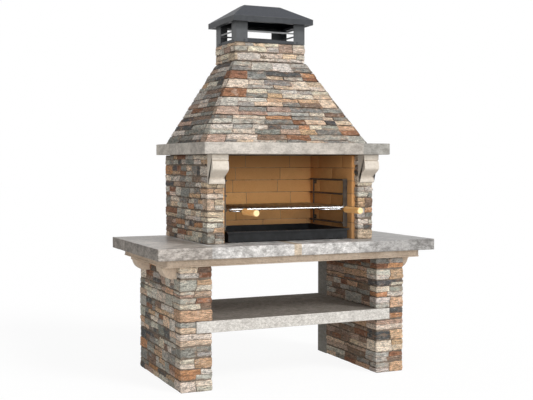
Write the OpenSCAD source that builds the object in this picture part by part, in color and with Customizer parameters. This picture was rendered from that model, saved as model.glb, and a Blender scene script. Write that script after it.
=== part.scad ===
// Outdoor masonry barbecue: two stone-clad legs with a shelf let into them, a cast worktop,
// a firebrick-lined firebox, a mantel on corbels, a tapered stone hood with its flue neck,
// and a folded steel chimney cap. The charcoal tray and the cooking grill slide out to the front.
// X runs to the right, Y to the back and Z up. The origin is on the ground at the centre of the outline.

/* [Worktop] */
// Width of the worktop slab
worktop_w = 1500; // [1480:1:1700]
// Depth of the worktop slab
worktop_d = 800; // [790:1:900]
// Thickness of the worktop slab
worktop_t = 56; // [40:1:80]
// Height of the moulded slab under the worktop
moulding_h = 40; // [30:1:60]
// How far the moulded slab stays back from the worktop's sides
moulding_side_set = 57; // [45:1:62]
// How far the moulded slab stays back from the worktop's front
moulding_front_set = 60; // [45:1:70]
// How far the moulded slab stays in from the wall behind
moulding_back_set = 30; // [10:1:50]
// Height of the bead along the moulded slab's lower edge
bead_h = 8; // [5:1:12]
// How far that bead stands proud
bead_out = 3; // [2:1:8]
// Chamfer on the edges of the cast slabs
slab_edge = 4; // [2:1:8]

/* [Legs] */
// Height of each leg
leg_h = 600; // [560:1:680]
// How far the legs stay in from the worktop's sides
leg_side_set = 134; // [125:1:150]
// Width of one leg
leg_w = 164; // [150:1:180]
// How far the legs stay back from the worktop's front
leg_front_set = 86; // [75:1:100]
// How far the legs stay in from the wall behind
leg_back_set = 52; // [40:1:80]
// Length of the bare concrete strip at the rear of a leg's inner face
strip_l = 102; // [80:1:140]

/* [Shelf] */
// Height of the shelf's underside
shelf_z = 279; // [240:1:320]
// Thickness of the shelf
shelf_t = 57; // [45:1:70]
// Length of shelf let into each leg
shelf_let_in = 82; // [60:1:100]
// Clearance round the shelf in its notches
notch_gap = 0.3; // [0.1:0.1:1]

/* [Stone facing] */
// Thickness of the facing stones
stone_t = 30; // [24:1:36]
// Open joint between two stones
stone_joint = 2; // [1:0.5:3]
// Usual length of a facing stone
stone_l = 140; // [120:1:180]
// Depth of the shortest corner stone
corner_d = 66; // [60:1:74]
// How much deeper the deepest corner stone is
corner_extra = 44; // [20:1:50]
// Bevel round the face of a stone
stone_bevel = 5; // [3:1:7]
// Depth of the groove across a stone that reads as two strips
stone_groove = 3; // [1:0.5:4]
// How far stones differ in how far they stand out
stone_play = 4; // [0:1:5]
// Courses of stone on a leg below the shelf
courses_low = 5; // [4:1:6]
// Courses of stone on a leg above the shelf, one of them thin
courses_high = 5; // [4:1:6]
// Height of that thin course, as a share of the others
thin_share = 0.52; // [0.4:0.01:0.8]
// Courses of stone on a firebox wall
courses_wall = 8; // [6:1:9]
// Courses of stone up the hood
courses_hood = 9; // [7:1:10]
// Courses of stone on the flue neck
courses_neck = 2; // [1:1:3]

/* [Firebox] */
// Width across the two firebox walls, outside faces
firebox_w = 920; // [900:1:960]
// Thickness of a firebox wall with its stone
wall_t = 92; // [88:1:110]
// Height of the firebox walls
wall_h = 436; // [410:1:480]
// How far the firebox stays back from the worktop's front
wall_front_set = 138; // [125:1:150]
// How far the firebox stays in from the wall behind
wall_back_set = 16; // [5:1:30]
// Thickness of the concrete panel behind the firebox
panel_t = 60; // [50:1:70]
// Depth from the wall behind to the face of the rear lining
lining_back = 151; // [140:1:160]
// Thickness of the firebricks
brick_t = 30; // [25:1:32]
// How far the side linings stand in from the walls' stone
lining_proud = 13; // [10:1:16]
// How far the side linings stay back from the front of the walls
lining_front_set = 39; // [30:1:50]
// Length of a firebrick
brick_l = 268; // [200:1:300]
// Joint between firebricks
brick_joint = 2.5; // [1.5:0.5:4]
// Rows of firebricks above the lowest two
brick_rows = 4; // [3:1:5]
// Height of each of the two lowest rows
brick_low_h = 83.5; // [70:0.5:90]

/* [Mantel] */
// Width of the mantel slab
mantel_w = 1012; // [980:1:1060]
// Depth of the mantel slab
mantel_d = 754; // [735:1:780]
// Thickness of the mantel slab
mantel_t = 57; // [45:1:70]
// How far the slab reaches inside the lining and the hood's shell, round the smoke opening
throat_margin = 6; // [4:1:30]

/* [Corbels] */
// Width of a mantel corbel
mantel_corbel_w = 84; // [70:1:86]
// Height of a mantel corbel
mantel_corbel_h = 143; // [120:1:160]
// How far a mantel corbel stands out at its belly
mantel_corbel_out = 66; // [55:1:72]
// How far it stands out at its foot
mantel_corbel_foot = 25; // [18:1:32]
// Height of its top band
corbel_band_h = 28; // [20:1:34]
// Height of its bottom band
corbel_base_h = 25; // [18:1:30]
// Height of a worktop corbel
leg_corbel_h = 62; // [50:1:80]
// How far a worktop corbel stands out
leg_corbel_out = 72; // [60:1:76]
// How far it stands out at its foot
leg_corbel_foot = 28; // [18:1:32]
// Thickness of a worktop corbel
leg_corbel_t = 85; // [70:1:100]
// How far the front worktop corbels stay back from the leg's front
leg_corbel_front = 62; // [50:1:90]
// How far the rear worktop corbels stay in from the leg's back
leg_corbel_rear = 84; // [60:1:110]
// Length of the tenon that holds a mantel corbel in the wall's front stones
tenon_l = 14; // [8:1:20]
// How far the tenon stays in from the corbel's edges
tenon_set = 20; // [12:1:28]

/* [Hood] */
// Width of the hood at its base
hood_w = 906; // [880:1:940]
// Depth of the hood at its base, from the wall behind
hood_d = 615; // [590:1:640]
// Height of the sloped part of the hood
hood_h = 430; // [390:1:480]
// Gap between the shell and the back of a hood stone
hood_bed = 0.2; // [0.1:0.1:1]
// Thickness of the hood's concrete shell
shell_t = 40; // [30:1:46]
// Width of the flue neck
neck_w = 406; // [390:1:430]
// Depth from the wall behind to the neck's front
neck_front = 387; // [380:1:400]
// Depth from the wall behind to the neck's back
neck_back = 106; // [95:1:115]
// Height of the flue neck
neck_h = 97; // [85:1:120]

/* [Chimney cap] */
// How far the cap's posts stand in from the neck's sides
cap_set = 7; // [3:1:12]
// Depth of the cap at its posts
cap_d = 286; // [276:1:290]
// How far the cap stands out in front of the neck
cap_front_out = 3; // [0:1:6]
// Height from the neck to the eaves
cap_h = 100; // [90:1:120]
// Width of one leaf of a corner post
post_leaf = 64; // [50:1:76]
// Side of the tab at a post's top
post_tab = 26; // [20:1:34]
// Thickness of the cap's folded steel
steel_t = 3; // [2:0.5:4]
// Height of the base frame
cap_base_h = 16; // [12:1:20]
// Width of the base frame's bars
cap_base_w = 18; // [14:1:26]
// Height of the bars half way up the openings
cap_bar_h = 8; // [6:1:14]
// Height of those bars above the neck
cap_bar_z = 52; // [40:1:60]
// Height of the collar that stands up round the soffit's opening
cap_collar_h = 8; // [5:1:12]
// Overhang of the roof at its sides
roof_side = 30; // [20:1:45]
// Overhang of the roof at front and back
roof_front = 41; // [30:1:60]
// Height of the fascia
fascia_h = 28; // [22:1:36]
// Rise of the roof above its fascia
roof_rise = 80; // [60:1:110]
// Length of the roof's flat ridge
ridge_l = 208; // [180:1:230]
// Width of the roof's flat ridge
ridge_w = 60; // [40:1:80]
// Return lip under the fascia
roof_lip = 12; // [8:1:16]

/* [Grill racks] */
// Diameter of the rack's rods
rack_rod_d = 8; // [6:1:9]
// Width of the rack's flat front post
rack_post_w = 23; // [20:1:24]
// Thickness of the rack's flat front post
rack_post_t = 5; // [4:1:6]
// Height of the lowest rung above the worktop
rung_first = 81; // [74:1:90]
// Distance from rung to rung
rung_pitch = 75; // [60:1:80]
// Number of rungs
rung_count = 4; // [3:1:4]
// Which rung the grill rests on, from the lowest, which is 0
grill_rung = 1; // [1:1:2]
// How far the front post stays back from the lining's front end
rack_front_set = 48; // [40:1:60]
// How far the rear post stays in from the rear lining
rack_rear_set = 49; // [40:1:60]
// Length of a rack's screw tab
tab_l = 24; // [20:1:30]
// Height of a rack's screw tab
tab_h = 22; // [18:1:28]
// Height of the posts' feet above the tray's rim
rack_low_gap = 5; // [3:1:12]
// Length of a rack's screw in the firebrick
rack_screw_l = 22; // [16:1:26]

/* [Charcoal tray] */
// Width of the tray over its lip
tray_w = 682; // [640:1:690]
// Height of the tray's rim above the worktop
tray_h = 55; // [45:1:64]
// Thickness of the tray's steel
tray_t = 3; // [2:0.5:4]
// Width of the tray's folded lip
tray_lip = 9; // [6:1:14]
// Height of the tray's feet
tray_foot = 5; // [4:1:8]
// Width of each foot
tray_foot_w = 30; // [20:1:50]
// Height of the fold at the front of the lip
tray_fold = 8; // [5:1:14]
// Gap between the tray and the rear lining
tray_rear_gap = 14; // [8:1:24]
// How far the tray's rim stays back from the front of the walls
tray_front_set = 36; // [25:1:50]

/* [Cooking grill] */
// Width of the grill
grill_w = 658; // [650:1:660]
// Gap between the grill and the rear lining
grill_rear_gap = 33; // [14:1:60]
// How far the grill's front bar stays back from the front of the walls
grill_front_set = 57; // [45:1:70]
// Diameter of the grill's outer rod
frame_rod_d = 8; // [6:1:8]
// Diameter of the cross rods under the wires
cross_rod_d = 6; // [5:1:6]
// Diameter of the cooking wires
wire_d = 5; // [4:1:6]
// Number of cooking wires
wire_count = 21; // [15:1:25]
// Bend radius of the grill's outer corners
grill_corner_r = 14; // [12:1:24]

/* [Handles] */
// Diameter of a wooden handle
handle_d = 32; // [28:1:38]
// Length of a wooden handle
handle_l = 161; // [130:1:180]
// Distance of each handle from the centre line
handle_x = 280; // [260:1:290]
// Gap from the grill's front bar to a handle
handle_gap = 79; // [70:1:90]
// Diameter of the fork's rod
fork_d = 6; // [5:1:7]
// Distance of the fork's inner prong from the centre line
fork_in_x = 172; // [150:1:200]
// Distance of the fork's outer prong from the centre line
fork_out_x = 318; // [310:1:320]
// How far the fork stands out from the grill's front bar
fork_out = 36; // [28:1:45]
// Length of the fork's tang inside the handle
tang_l = 70; // [50:1:90]
// Length of the collar on the handle
ferrule_l = 12; // [8:1:16]
// Thickness of the collar
ferrule_t = 2.5; // [2:0.5:4]

/* [Hidden] */
$fn = 48;
running = 0.3;
snug = 0.05;

// Lines across the depth, counted from the wall behind, which is y = 0 here
leg_y0 = leg_front_set - worktop_d;
leg_y1 = -leg_back_set;
wall_y0 = wall_front_set - worktop_d;
wall_y1 = -wall_back_set;
lining_y0 = wall_y0 + lining_front_set;
lining_y1 = -lining_back;
panel_y0 = lining_y1 + brick_t;
grill_y0 = wall_y0 + grill_front_set;
grill_y1 = lining_y1 - grill_rear_gap;
grill_d = grill_y1 - grill_y0;
handle_y1 = grill_y0 - handle_gap;
handle_y0 = handle_y1 - handle_l;
// The outline's centre lies half way between the wall behind and the handles' ends
wall_y = max(worktop_d, -handle_y0) / 2;

// Levels
z_under = leg_h + moulding_h;
z_top = z_under + worktop_t;
z_mantel = z_top + wall_h;
z_hood = z_mantel + mantel_t;
z_neck = z_hood + hood_h;
z_cap = z_neck + neck_h;
z_eaves = z_cap + cap_h;

// Half widths
leg_x1 = worktop_w / 2 - leg_side_set;
leg_x0 = leg_x1 - leg_w;
wall_x1 = firebox_w / 2;
wall_x0 = wall_x1 - wall_t;
lining_x = wall_x0 - lining_proud;
lining_x1 = lining_x + brick_t;
wall_core_x1 = wall_x1 - stone_t;

// Racks and grill
rack_y0 = lining_y0 + rack_front_set;
rack_y1 = lining_y1 - rack_rear_set;
post_x1 = lining_x - 2;
tab_x = post_x1 - 1;
post_x0 = post_x1 - rack_post_w;
rung_x = post_x0 - rack_rod_d / 2 + 1;
function rung_z(i) = z_top + rung_first + i * rung_pitch;
grill_z = rung_z(grill_rung) + rack_rod_d / 2 + frame_rod_d / 2;
grill_x = grill_w / 2 - frame_rod_d / 2;
fork_z = grill_z - frame_rod_d / 2 - fork_d / 2 - snug;
tab_z = [rung_z(0) + rack_rod_d / 2 + tab_h / 2 - 1, rung_z(rung_count - 1) - rack_rod_d / 2 - tab_h / 2 - 1];
screw_r = 2.5;

// Hood: the concrete shell lies one stone inside the stone envelope
core_base_x = hood_w / 2 - stone_t;
core_base_y = hood_d - stone_t;
core_neck_x = neck_w / 2 - stone_t;
core_neck_y = neck_front - stone_t;

// Cap
cap_w = neck_w - 2 * cap_set;
cap_y0 = -neck_front - cap_front_out;
cap_y1 = cap_y0 + cap_d;
cap_mid_y = (cap_y0 + cap_y1) / 2;
roof_x = cap_w / 2 + roof_side;
roof_y0 = cap_y0 - roof_front;
roof_y1 = cap_y1 + roof_front;

// Moves what is drawn from the wall behind to the outline's centre
module at_wall() { translate([0, wall_y, 0]) children(); }

// Mirrors to the right-hand side
module right_side() { mirror([1, 0, 0]) children(); }

// A box given by its low and high corners
module block(low, high) { translate(low) cube(high - low); }

// A cast slab between two corners, with all its long edges chamfered
module slab(low, high, c) {
    s = high - low;
    translate(low) intersection() {
        rotate([90, 0, 90]) linear_extrude(s[0]) chamfered(s[1], s[2], c);
        translate([0, s[1], 0]) rotate([90, 0, 0]) linear_extrude(s[1]) chamfered(s[0], s[2], c);
        linear_extrude(s[2]) chamfered(s[0], s[1], c);
    }
}

// A rectangle with its corners cut at 45 degrees
module chamfered(a, b, c) {
    polygon([[c, 0], [a - c, 0], [a, c], [a, b - c], [a - c, b], [c, b], [0, b - c], [0, c]]);
}

// Places of the upright joints in one course: evenly spaced, then shifted by a seeded share of a stone
function joints(length, usual, seed) =
    let (n = max(1, round(length / usual) + seed % 2), step = length / n, r = rands(-0.28, 0.28, n + 1, seed))
    [for (i = [0:n]) i == 0 ? 0 : i == n ? length : step * (i + r[i])];

// Heights of the bed joints between two levels, a little uneven
function beds(z0, z1, n, seed) =
    let (step = (z1 - z0) / n, r = rands(-0.07, 0.07, n + 1, seed))
    [for (i = [0:n]) i == 0 ? z0 : i == n ? z1 : z0 + step * (i + r[i])];

// Depth of the corner stone in one course
function corner_of(seed) = corner_d + rands(0, corner_extra, 1, seed)[0];

// How far one stone stands back from the facing's outer plane
function play_of(seed) = rands(0, stone_play, 1, seed)[0];

// One facing stone: a bevelled section, drawn from its back at y = 0 towards -Y, carried along X.
// A split stone has a groove half way up, so that it reads as two thin strips.
module stone(length, h, t, split) {
    b = stone_bevel;
    groove = stone_groove;
    rotate([90, 0, 90]) linear_extrude(length) polygon(concat(
        [[0, 0], [b - t, 0], [-t, b]],
        split ? [[-t, h / 2 - groove], [groove - t, h / 2], [-t, h / 2 + groove]] : [],
        [[-t, h - b], [b - t, h], [0, h]]));
}

// How much of a joint a piece gives up: half at either end of its row, else a whole one
function end_share(i, last) = i == 0 || i == last ? 0.5 : 1;

// One course of stones along X from the back plane at y = 0; h leaves the bed joint out
module course(length, h, usual, seed) {
    cuts = joints(length, usual, seed);
    for (i = [0:len(cuts) - 2])
        translate([cuts[i] + (i == 0 ? 0 : stone_joint / 2), 0, 0])
            stone(cuts[i + 1] - cuts[i] - end_share(i, len(cuts) - 2) * stone_joint, h,
                stone_t - play_of(seed * 7 + i), (seed + i) % 3 != 1);
}

// Bed joints of a leg: below the shelf, beside it and above it, where the middle course is thin
function high_beds(z0, z1, n) =
    let (thin = floor(n / 2), step = (z1 - z0) / (n - 1 + thin_share))
    [for (i = [0:n]) z0 + step * (i <= thin ? i : i - 1 + thin_share)];
function leg_beds(seed) = concat(
    beds(0, shelf_z, courses_low, seed),
    high_beds(shelf_z + shelf_t, leg_h, courses_high));
leg_courses = courses_low + courses_high + 1;

// The corner stones of one leg front, drawn for the left leg: each reaches round both sides of the core.
// Most courses have two; the ones listed in wholes have one across the whole front.
module leg_front_stones(seed, wholes) {
    z = leg_beds(seed);
    for (k = [0:leg_courses - 1]) {
        depth = corner_of(seed + k);
        shelf_course = k == courses_low;
        whole = len([for (w = wholes) if (w == k) w]) > 0;
        mid = shelf_course ? leg_w - shelf_let_in - notch_gap : leg_w * (0.5 + 0.06 * ((k + seed) % 3 - 1));
        cuts = whole ? [0, leg_w] : shelf_course ? [0, mid + stone_joint / 2] : [0, mid, leg_w];
        for (i = [0:len(cuts) - 2]) difference() {
            translate([cuts[i] - leg_x1 + (i == 0 ? 0 : stone_joint / 2), leg_y0 + depth, z[k]])
                stone(cuts[i + 1] - cuts[i] - (whole ? 0 : stone_joint / 2), z[k + 1] - z[k] - stone_joint,
                    depth - play_of(seed + 3 * k + i) / 2, (k + i) % 3 != 0);
            leg_core_box(z[k] - 1, z[k + 1] + 1);
            corbel_pocket(corbel_front_y);
        }
    }
}

// The space of one leg's core between two levels, left leg
module leg_core_box(z0, z1) {
    block([-leg_x1 + stone_t, leg_y0 + corner_d - 6, z0], [-leg_x0 - stone_t, leg_y1, z1]);
}

// The stones on a leg's side: outer is the face away from the shelf
module leg_side_stones(seed, outer) {
    z = leg_beds(seed);
    back = outer ? leg_y1 : leg_y1 - strip_l - stone_joint;
    for (k = [0:leg_courses - 1]) if (outer || k != courses_low) {
        length = back - (leg_y0 + corner_of(seed + k) + stone_joint);
        if (outer) difference() {
            translate([-leg_x1 + stone_t, back, z[k]]) rotate([0, 0, -90])
                course(length, z[k + 1] - z[k] - stone_joint, stone_l, seed + 11 + k);
            for (y0 = [corbel_front_y, corbel_rear_y]) corbel_pocket(y0);
        }
        else
            translate([-leg_x0 - stone_t, back - length, z[k]]) rotate([0, 0, 90])
                course(length, z[k + 1] - z[k] - stone_joint, stone_l, seed + 31 + k);
    }
}

// One leg's concrete core, left leg: a pier, the bare strip at its inner rear and the notch for the shelf
module leg_core() {
    difference() {
        union() {
            leg_core_box(0, leg_h);
            block([-leg_x1 + stone_t, leg_y1 - strip_l, 0], [-leg_x0 - stone_joint, leg_y1, leg_h]);
        }
        block([-leg_x0 - shelf_let_in - notch_gap, leg_y0 - 1, shelf_z - notch_gap],
            [1 - leg_x0, leg_y1 + 1, shelf_z + shelf_t + notch_gap]);
    }
}

module leg_left_core() { color("#8f8b84") at_wall() leg_core(); }
module leg_right_core() { color("#8f8b84") at_wall() right_side() leg_core(); }
module leg_left_front_stones() {
    color("#cfc4b2") at_wall() leg_front_stones(100, [courses_low - 1, courses_low + 1]);
}
module leg_left_outer_stones() { color("#a8a199") at_wall() leg_side_stones(100, true); }
module leg_left_inner_stones() { color("#a59a8c") at_wall() leg_side_stones(100, false); }
module leg_right_front_stones() {
    color("#c8b8a2") at_wall() right_side() leg_front_stones(205, [courses_low - 1]);
}
module leg_right_outer_stones() { color("#a8a199") at_wall() right_side() leg_side_stones(205, true); }
module leg_right_inner_stones() { color("#a59a8c") at_wall() right_side() leg_side_stones(205, false); }

// The shelf lies in the legs' notches, its front flush with the corner stones
module shelf_slab() {
    x = leg_x0 + shelf_let_in;
    color("#b3b0ab") at_wall()
        slab([-x, leg_y0, shelf_z], [x, leg_y1 - stone_joint, shelf_z + shelf_t], slab_edge / 2);
}

// The moulded slab on the legs: a bead along its lower edge and a flat face above
module worktop_moulding() {
    x = worktop_w / 2 - moulding_side_set;
    y0 = moulding_front_set - worktop_d;
    color("#cdbca6") at_wall() union() {
        slab([-x, y0, leg_h], [x, -moulding_back_set, leg_h + bead_h], bead_h / 4);
        block([bead_out - x, y0 + bead_out, leg_h + bead_h / 2], [x - bead_out, -moulding_back_set, z_under]);
    }
}

module worktop_slab() {
    color("#b9b5af") at_wall()
        slab([-worktop_w / 2, -worktop_d, z_under], [worktop_w / 2, 0, z_top], slab_edge);
}

// A worktop corbel, set through the left leg's facing: a fillet, a step in, then a curve that swells
// a little beyond its chord on the way down to the foot
module worktop_corbel(y0) {
    fillet = 12;
    step = 6;
    splay = 2;
    swell = 8;
    run = leg_corbel_out - step - leg_corbel_foot;
    drop = leg_corbel_h - fillet - splay;
    chord = norm([run, drop]);
    color("#cbb9a0") translate([-leg_x1, y0 + leg_corbel_t, leg_h]) rotate([90, 0, 0])
        linear_extrude(leg_corbel_t) polygon(concat(
            [[stone_t, 0], [-leg_corbel_out, 0], [-leg_corbel_out, -fillet]],
            [for (t = [0:0.1:1]) let (s = swell * sin(180 * t) / chord)
                [-leg_corbel_foot - run * (1 - t) - drop * s, -fillet - splay - drop * t - run * s]],
            [[stone_t, -leg_corbel_h]]));
}

// The pocket that a worktop corbel leaves in the left leg's facing
module corbel_pocket(y0) {
    block([-leg_x1 - 1, y0 - running, leg_h - leg_corbel_h - running],
        [-leg_x1 + stone_t + 1, y0 + leg_corbel_t + running, leg_h + 1]);
}

corbel_front_y = leg_y0 + leg_corbel_front;
corbel_rear_y = leg_y1 - leg_corbel_rear - leg_corbel_t;
module worktop_corbel_left_front() { at_wall() worktop_corbel(corbel_front_y); }
module worktop_corbel_left_rear() { at_wall() worktop_corbel(corbel_rear_y); }
module worktop_corbel_right_front() { at_wall() right_side() worktop_corbel(corbel_front_y); }
module worktop_corbel_right_rear() { at_wall() right_side() worktop_corbel(corbel_rear_y); }

// The space of one firebox wall's core between two levels, left wall
module wall_core_box(z0, z1) {
    block([-wall_core_x1, wall_y0 + corner_d - 6, z0], [-lining_x1, wall_y1, z1]);
}

// The corner stones of one firebox wall's front, left wall: cut to the core and to the lining's end
module wall_front_stones(seed) {
    z = beds(z_top, z_mantel, courses_wall, seed);
    for (k = [0:courses_wall - 1]) {
        depth = corner_of(seed + k);
        mid = wall_t * (0.5 + 0.05 * ((k + seed) % 3 - 1));
        cuts = (k + seed) % 5 == 2 ? [0, wall_t] : [0, mid, wall_t];
        for (i = [0:len(cuts) - 2]) difference() {
            translate([cuts[i] - wall_x1 + (i == 0 ? 0 : stone_joint / 2), wall_y0 + depth, z[k]])
                stone(cuts[i + 1] - cuts[i] - (len(cuts) == 2 ? 0 : stone_joint / 2),
                    z[k + 1] - z[k] - stone_joint, depth - play_of(seed + 5 * k + i) / 2, (k + i) % 3 != 0);
            wall_core_box(z_top - 1, z_mantel + 1);
            block([-lining_x1, lining_y0, z_top - 1], [1 - lining_x, wall_y1, z_mantel + 1]);
            mantel_corbel_tenon(running);
        }
    }
}

module wall_outer_stones(seed) {
    z = beds(z_top, z_mantel, courses_wall, seed);
    for (k = [0:courses_wall - 1])
        translate([-wall_core_x1, wall_y1, z[k]]) rotate([0, 0, -90])
            course(wall_y1 - (wall_y0 + corner_of(seed + k) + stone_joint), z[k + 1] - z[k] - stone_joint,
                stone_l, seed + 17 + k);
}

module wall_left_core() { color("#8f8b84") at_wall() wall_core_box(z_top, z_mantel); }
module wall_right_core() { color("#8f8b84") at_wall() right_side() wall_core_box(z_top, z_mantel); }
module wall_left_front_stones() { color("#cfc4b2") at_wall() wall_front_stones(300); }
module wall_left_outer_stones() { color("#a8a199") at_wall() wall_outer_stones(300); }
module wall_right_front_stones() { color("#c8b8a2") at_wall() right_side() wall_front_stones(407); }
module wall_right_outer_stones() { color("#a8a199") at_wall() right_side() wall_outer_stones(407); }

module back_panel() {
    color("#8f8b84") at_wall()
        block([-lining_x1, panel_y0, z_top], [lining_x1, panel_y0 + panel_t, z_mantel]);
}

// Levels of the firebricks' bed joints: two tall rows at the bottom, then the even ones
function brick_beds() = let (z2 = z_top + 2 * brick_low_h) concat(
    [z_top, z_top + brick_low_h],
    [for (i = [0:brick_rows]) z2 + (z_mantel - z2) * i / brick_rows]);

// One firebrick lying along X with its face towards -Y and the face's edges eased
module brick(length, h) {
    e = 1.5;
    rotate([90, 0, 90]) linear_extrude(length)
        polygon([[0, 0], [e - brick_t, 0], [-brick_t, e], [-brick_t, h - e], [e - brick_t, h], [0, h]]);
}

// A lining from its left end: rows of bricks whose upright joints are shifted from row to row
module lining(length, shifts) {
    z = brick_beds();
    for (k = [0:len(z) - 2]) {
        first = shifts[k % len(shifts)] * brick_l;
        n = ceil((length - first) / brick_l);
        cuts = [for (i = [0:n]) i == 0 ? 0 : min(length, first + (i - 1) * brick_l)];
        ends = cuts[n] < length ? concat(cuts, [length]) : cuts;
        for (i = [0:len(ends) - 2])
            if (ends[i + 1] - ends[i] > 4 * brick_joint)
                translate([ends[i] + (i == 0 ? 0 : brick_joint / 2), 0, z[k]])
                    brick(ends[i + 1] - ends[i] - end_share(i, len(ends) - 2) * brick_joint,
                        z[k + 1] - z[k] - brick_joint);
    }
}

module lining_back_bricks() {
    color("#b08a57") at_wall() translate([-lining_x, panel_y0, 0])
        lining(2 * lining_x, [0.55, 0.95, 0.18, 0.88, 0.94, 0.16]);
}

// The left lining: its bricks lie against the wall's core, with holes for the rack's screws
module side_lining() {
    color("#a67f4e") difference() {
        translate([-lining_x1, lining_y0, 0]) rotate([0, 0, 90])
            lining(panel_y0 - lining_y0, [0.82, 0.4, 0.86, 0.36]);
        screw_places() rotate([0, -90, 0]) cylinder(r = screw_r + snug, h = 2.2 * brick_t, center = true);
    }
}

// Runs its children at each place where a rack is screwed to the left lining
module screw_places() {
    for (y = [rack_y0 + tab_l / 2, rack_y1 - tab_l / 2], z = tab_z) translate([-lining_x, y, z]) children();
}

module lining_left_bricks() { at_wall() side_lining(); }
module lining_right_bricks() { at_wall() right_side() side_lining(); }

// The tenon at the back of the left mantel corbel, or with a gap the mortise that it fits
mantel_corbel_x = (wall_x0 + wall_x1) / 2;
module mantel_corbel_tenon(gap) {
    w = mantel_corbel_w / 2 - tenon_set + gap;
    block([-mantel_corbel_x - w, wall_y0 - 1, z_mantel - mantel_corbel_h + tenon_set - gap],
        [w - mantel_corbel_x, wall_y0 + tenon_l + gap, z_mantel - tenon_set + gap]);
}

// A mantel corbel in front of the left wall: top band, groove, belly that sweeps in, base band and tenon
module mantel_corbel() {
    p = mantel_corbel_out;
    groove = 5;
    fall = mantel_corbel_h - corbel_band_h - groove - corbel_base_h;
    straight = fall * 0.42;
    sweep = fall - straight;
    q = mantel_corbel_foot - 3;
    z1 = -corbel_band_h - groove;
    color("#ece6dc") union() {
        translate([-mantel_corbel_x - mantel_corbel_w / 2, wall_y0, z_mantel])
            rotate([90, 0, 90]) linear_extrude(mantel_corbel_w) polygon(concat(
                [[0, 0], [-p + 5, 0], [-p + 5, -corbel_band_h], [-p + 9, -corbel_band_h], [-p + 9, z1]],
                [for (t = [0:0.25:1]) [-p + 4 - 4 * sin(t * 90), z1 - straight * t]],
                [for (t = [0.1:0.1:1]) [-p + (p - q) * (1 - cos(180 * t)) / 2, z1 - straight - sweep * t]],
                [[-mantel_corbel_foot, corbel_base_h - mantel_corbel_h],
                    [-mantel_corbel_foot, -mantel_corbel_h], [0, -mantel_corbel_h]]));
        mantel_corbel_tenon(0);
    }
}

module mantel_corbel_left() { at_wall() mantel_corbel(); }
module mantel_corbel_right() { at_wall() right_side() mantel_corbel(); }

// The smoke opening lies inside the foot of the hood's shell
throat_x = min(core_base_x - shell_t, lining_x) - throat_margin;
throat_y0 = max(shell_t - core_base_y, lining_y0) + throat_margin;
throat_y1 = lining_y1 - throat_margin;
module mantel_slab() {
    color("#b9b5af") at_wall() difference() {
        slab([-mantel_w / 2, -mantel_d, z_mantel], [mantel_w / 2, 0, z_hood], slab_edge);
        block([-throat_x, throat_y0, z_mantel - 1], [throat_x, throat_y1, z_hood + 1]);
    }
}

// A solid between two rectangles at two levels: base and top are [x, front y, back y, z]
module taper(b, t) {
    polyhedron([
        [-b[0], b[1], b[3]], [b[0], b[1], b[3]], [b[0], b[2], b[3]], [-b[0], b[2], b[3]],
        [-t[0], t[1], t[3]], [t[0], t[1], t[3]], [t[0], t[2], t[3]], [-t[0], t[2], t[3]]],
        [[0, 1, 2, 3], [4, 7, 6, 5], [0, 4, 5, 1], [1, 5, 6, 2], [2, 6, 7, 3], [3, 7, 4, 0]]);
}

// The hood's hollow shell; past its ends the inner taper carries on at the same slope
module hood_shell() {
    lean_x = (core_base_x - core_neck_x) / hood_h;
    lean_f = (core_base_y - core_neck_y) / hood_h;
    lean_b = neck_back / hood_h;
    w = shell_t;
    color("#8f8b84") at_wall() difference() {
        taper([core_base_x, -core_base_y, 0, z_hood], [core_neck_x, -core_neck_y, -neck_back, z_neck]);
        taper([core_base_x - w + lean_x, w - core_base_y - lean_f, -w + lean_b, z_hood - 1],
            [core_neck_x - w - lean_x, w - core_neck_y + lean_f, -neck_back - w - lean_b, z_neck + 1]);
    }
}

// Half width and front of the hood's facing at share s of its height: o = 0 is the shell, 1 the face
function hood_x(s, o) = core_base_x + (core_neck_x - core_base_x) * s + stone_t * o;
function hood_f(s, o) = -core_base_y + (core_base_y - core_neck_y) * s - stone_t * o;
function front_point(u, s, o) = [hood_x(s, o) * (2 * u - 1), hood_f(s, o), z_hood + hood_h * s];
function side_point(u, s, o) =
    [-hood_x(s, o), -neck_back * s + (hood_f(s, o) + neck_back * s) * u, z_hood + hood_h * s];
function face_point(side, u, s, o) = side ? side_point(u, s, o) : front_point(u, s, o);

// One hood stone: its back, its rim and its bevelled face are four corners each
module hood_stone(side, u0, u1, s0, s1, proud) {
    eu = stone_bevel / (side ? hood_d : hood_w);
    es = stone_bevel / hood_h;
    rim = (stone_t - stone_bevel) / stone_t;
    polyhedron(concat(
        [for (c = [[u0, s0], [u1, s0], [u1, s1], [u0, s1]]) face_point(side, c[0], c[1], hood_bed / stone_t)],
        [for (c = [[u0, s0], [u1, s0], [u1, s1], [u0, s1]]) face_point(side, c[0], c[1], rim)],
        [for (c = [[u0 + eu, s0 + es], [u1 - eu, s0 + es], [u1 - eu, s1 - es], [u0 + eu, s1 - es]])
            face_point(side, c[0], c[1], proud)]),
        concat([[0, 1, 2], [0, 2, 3], [8, 11, 10], [8, 10, 9]],
            [for (i = [0:3], r = [0, 4]) for (q = [0, 1])
                let (a = r + i, b = r + (i + 1) % 4, c = a + 4, d = b + 4) q == 0 ? [a, c, d] : [a, d, b]]));
}

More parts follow.
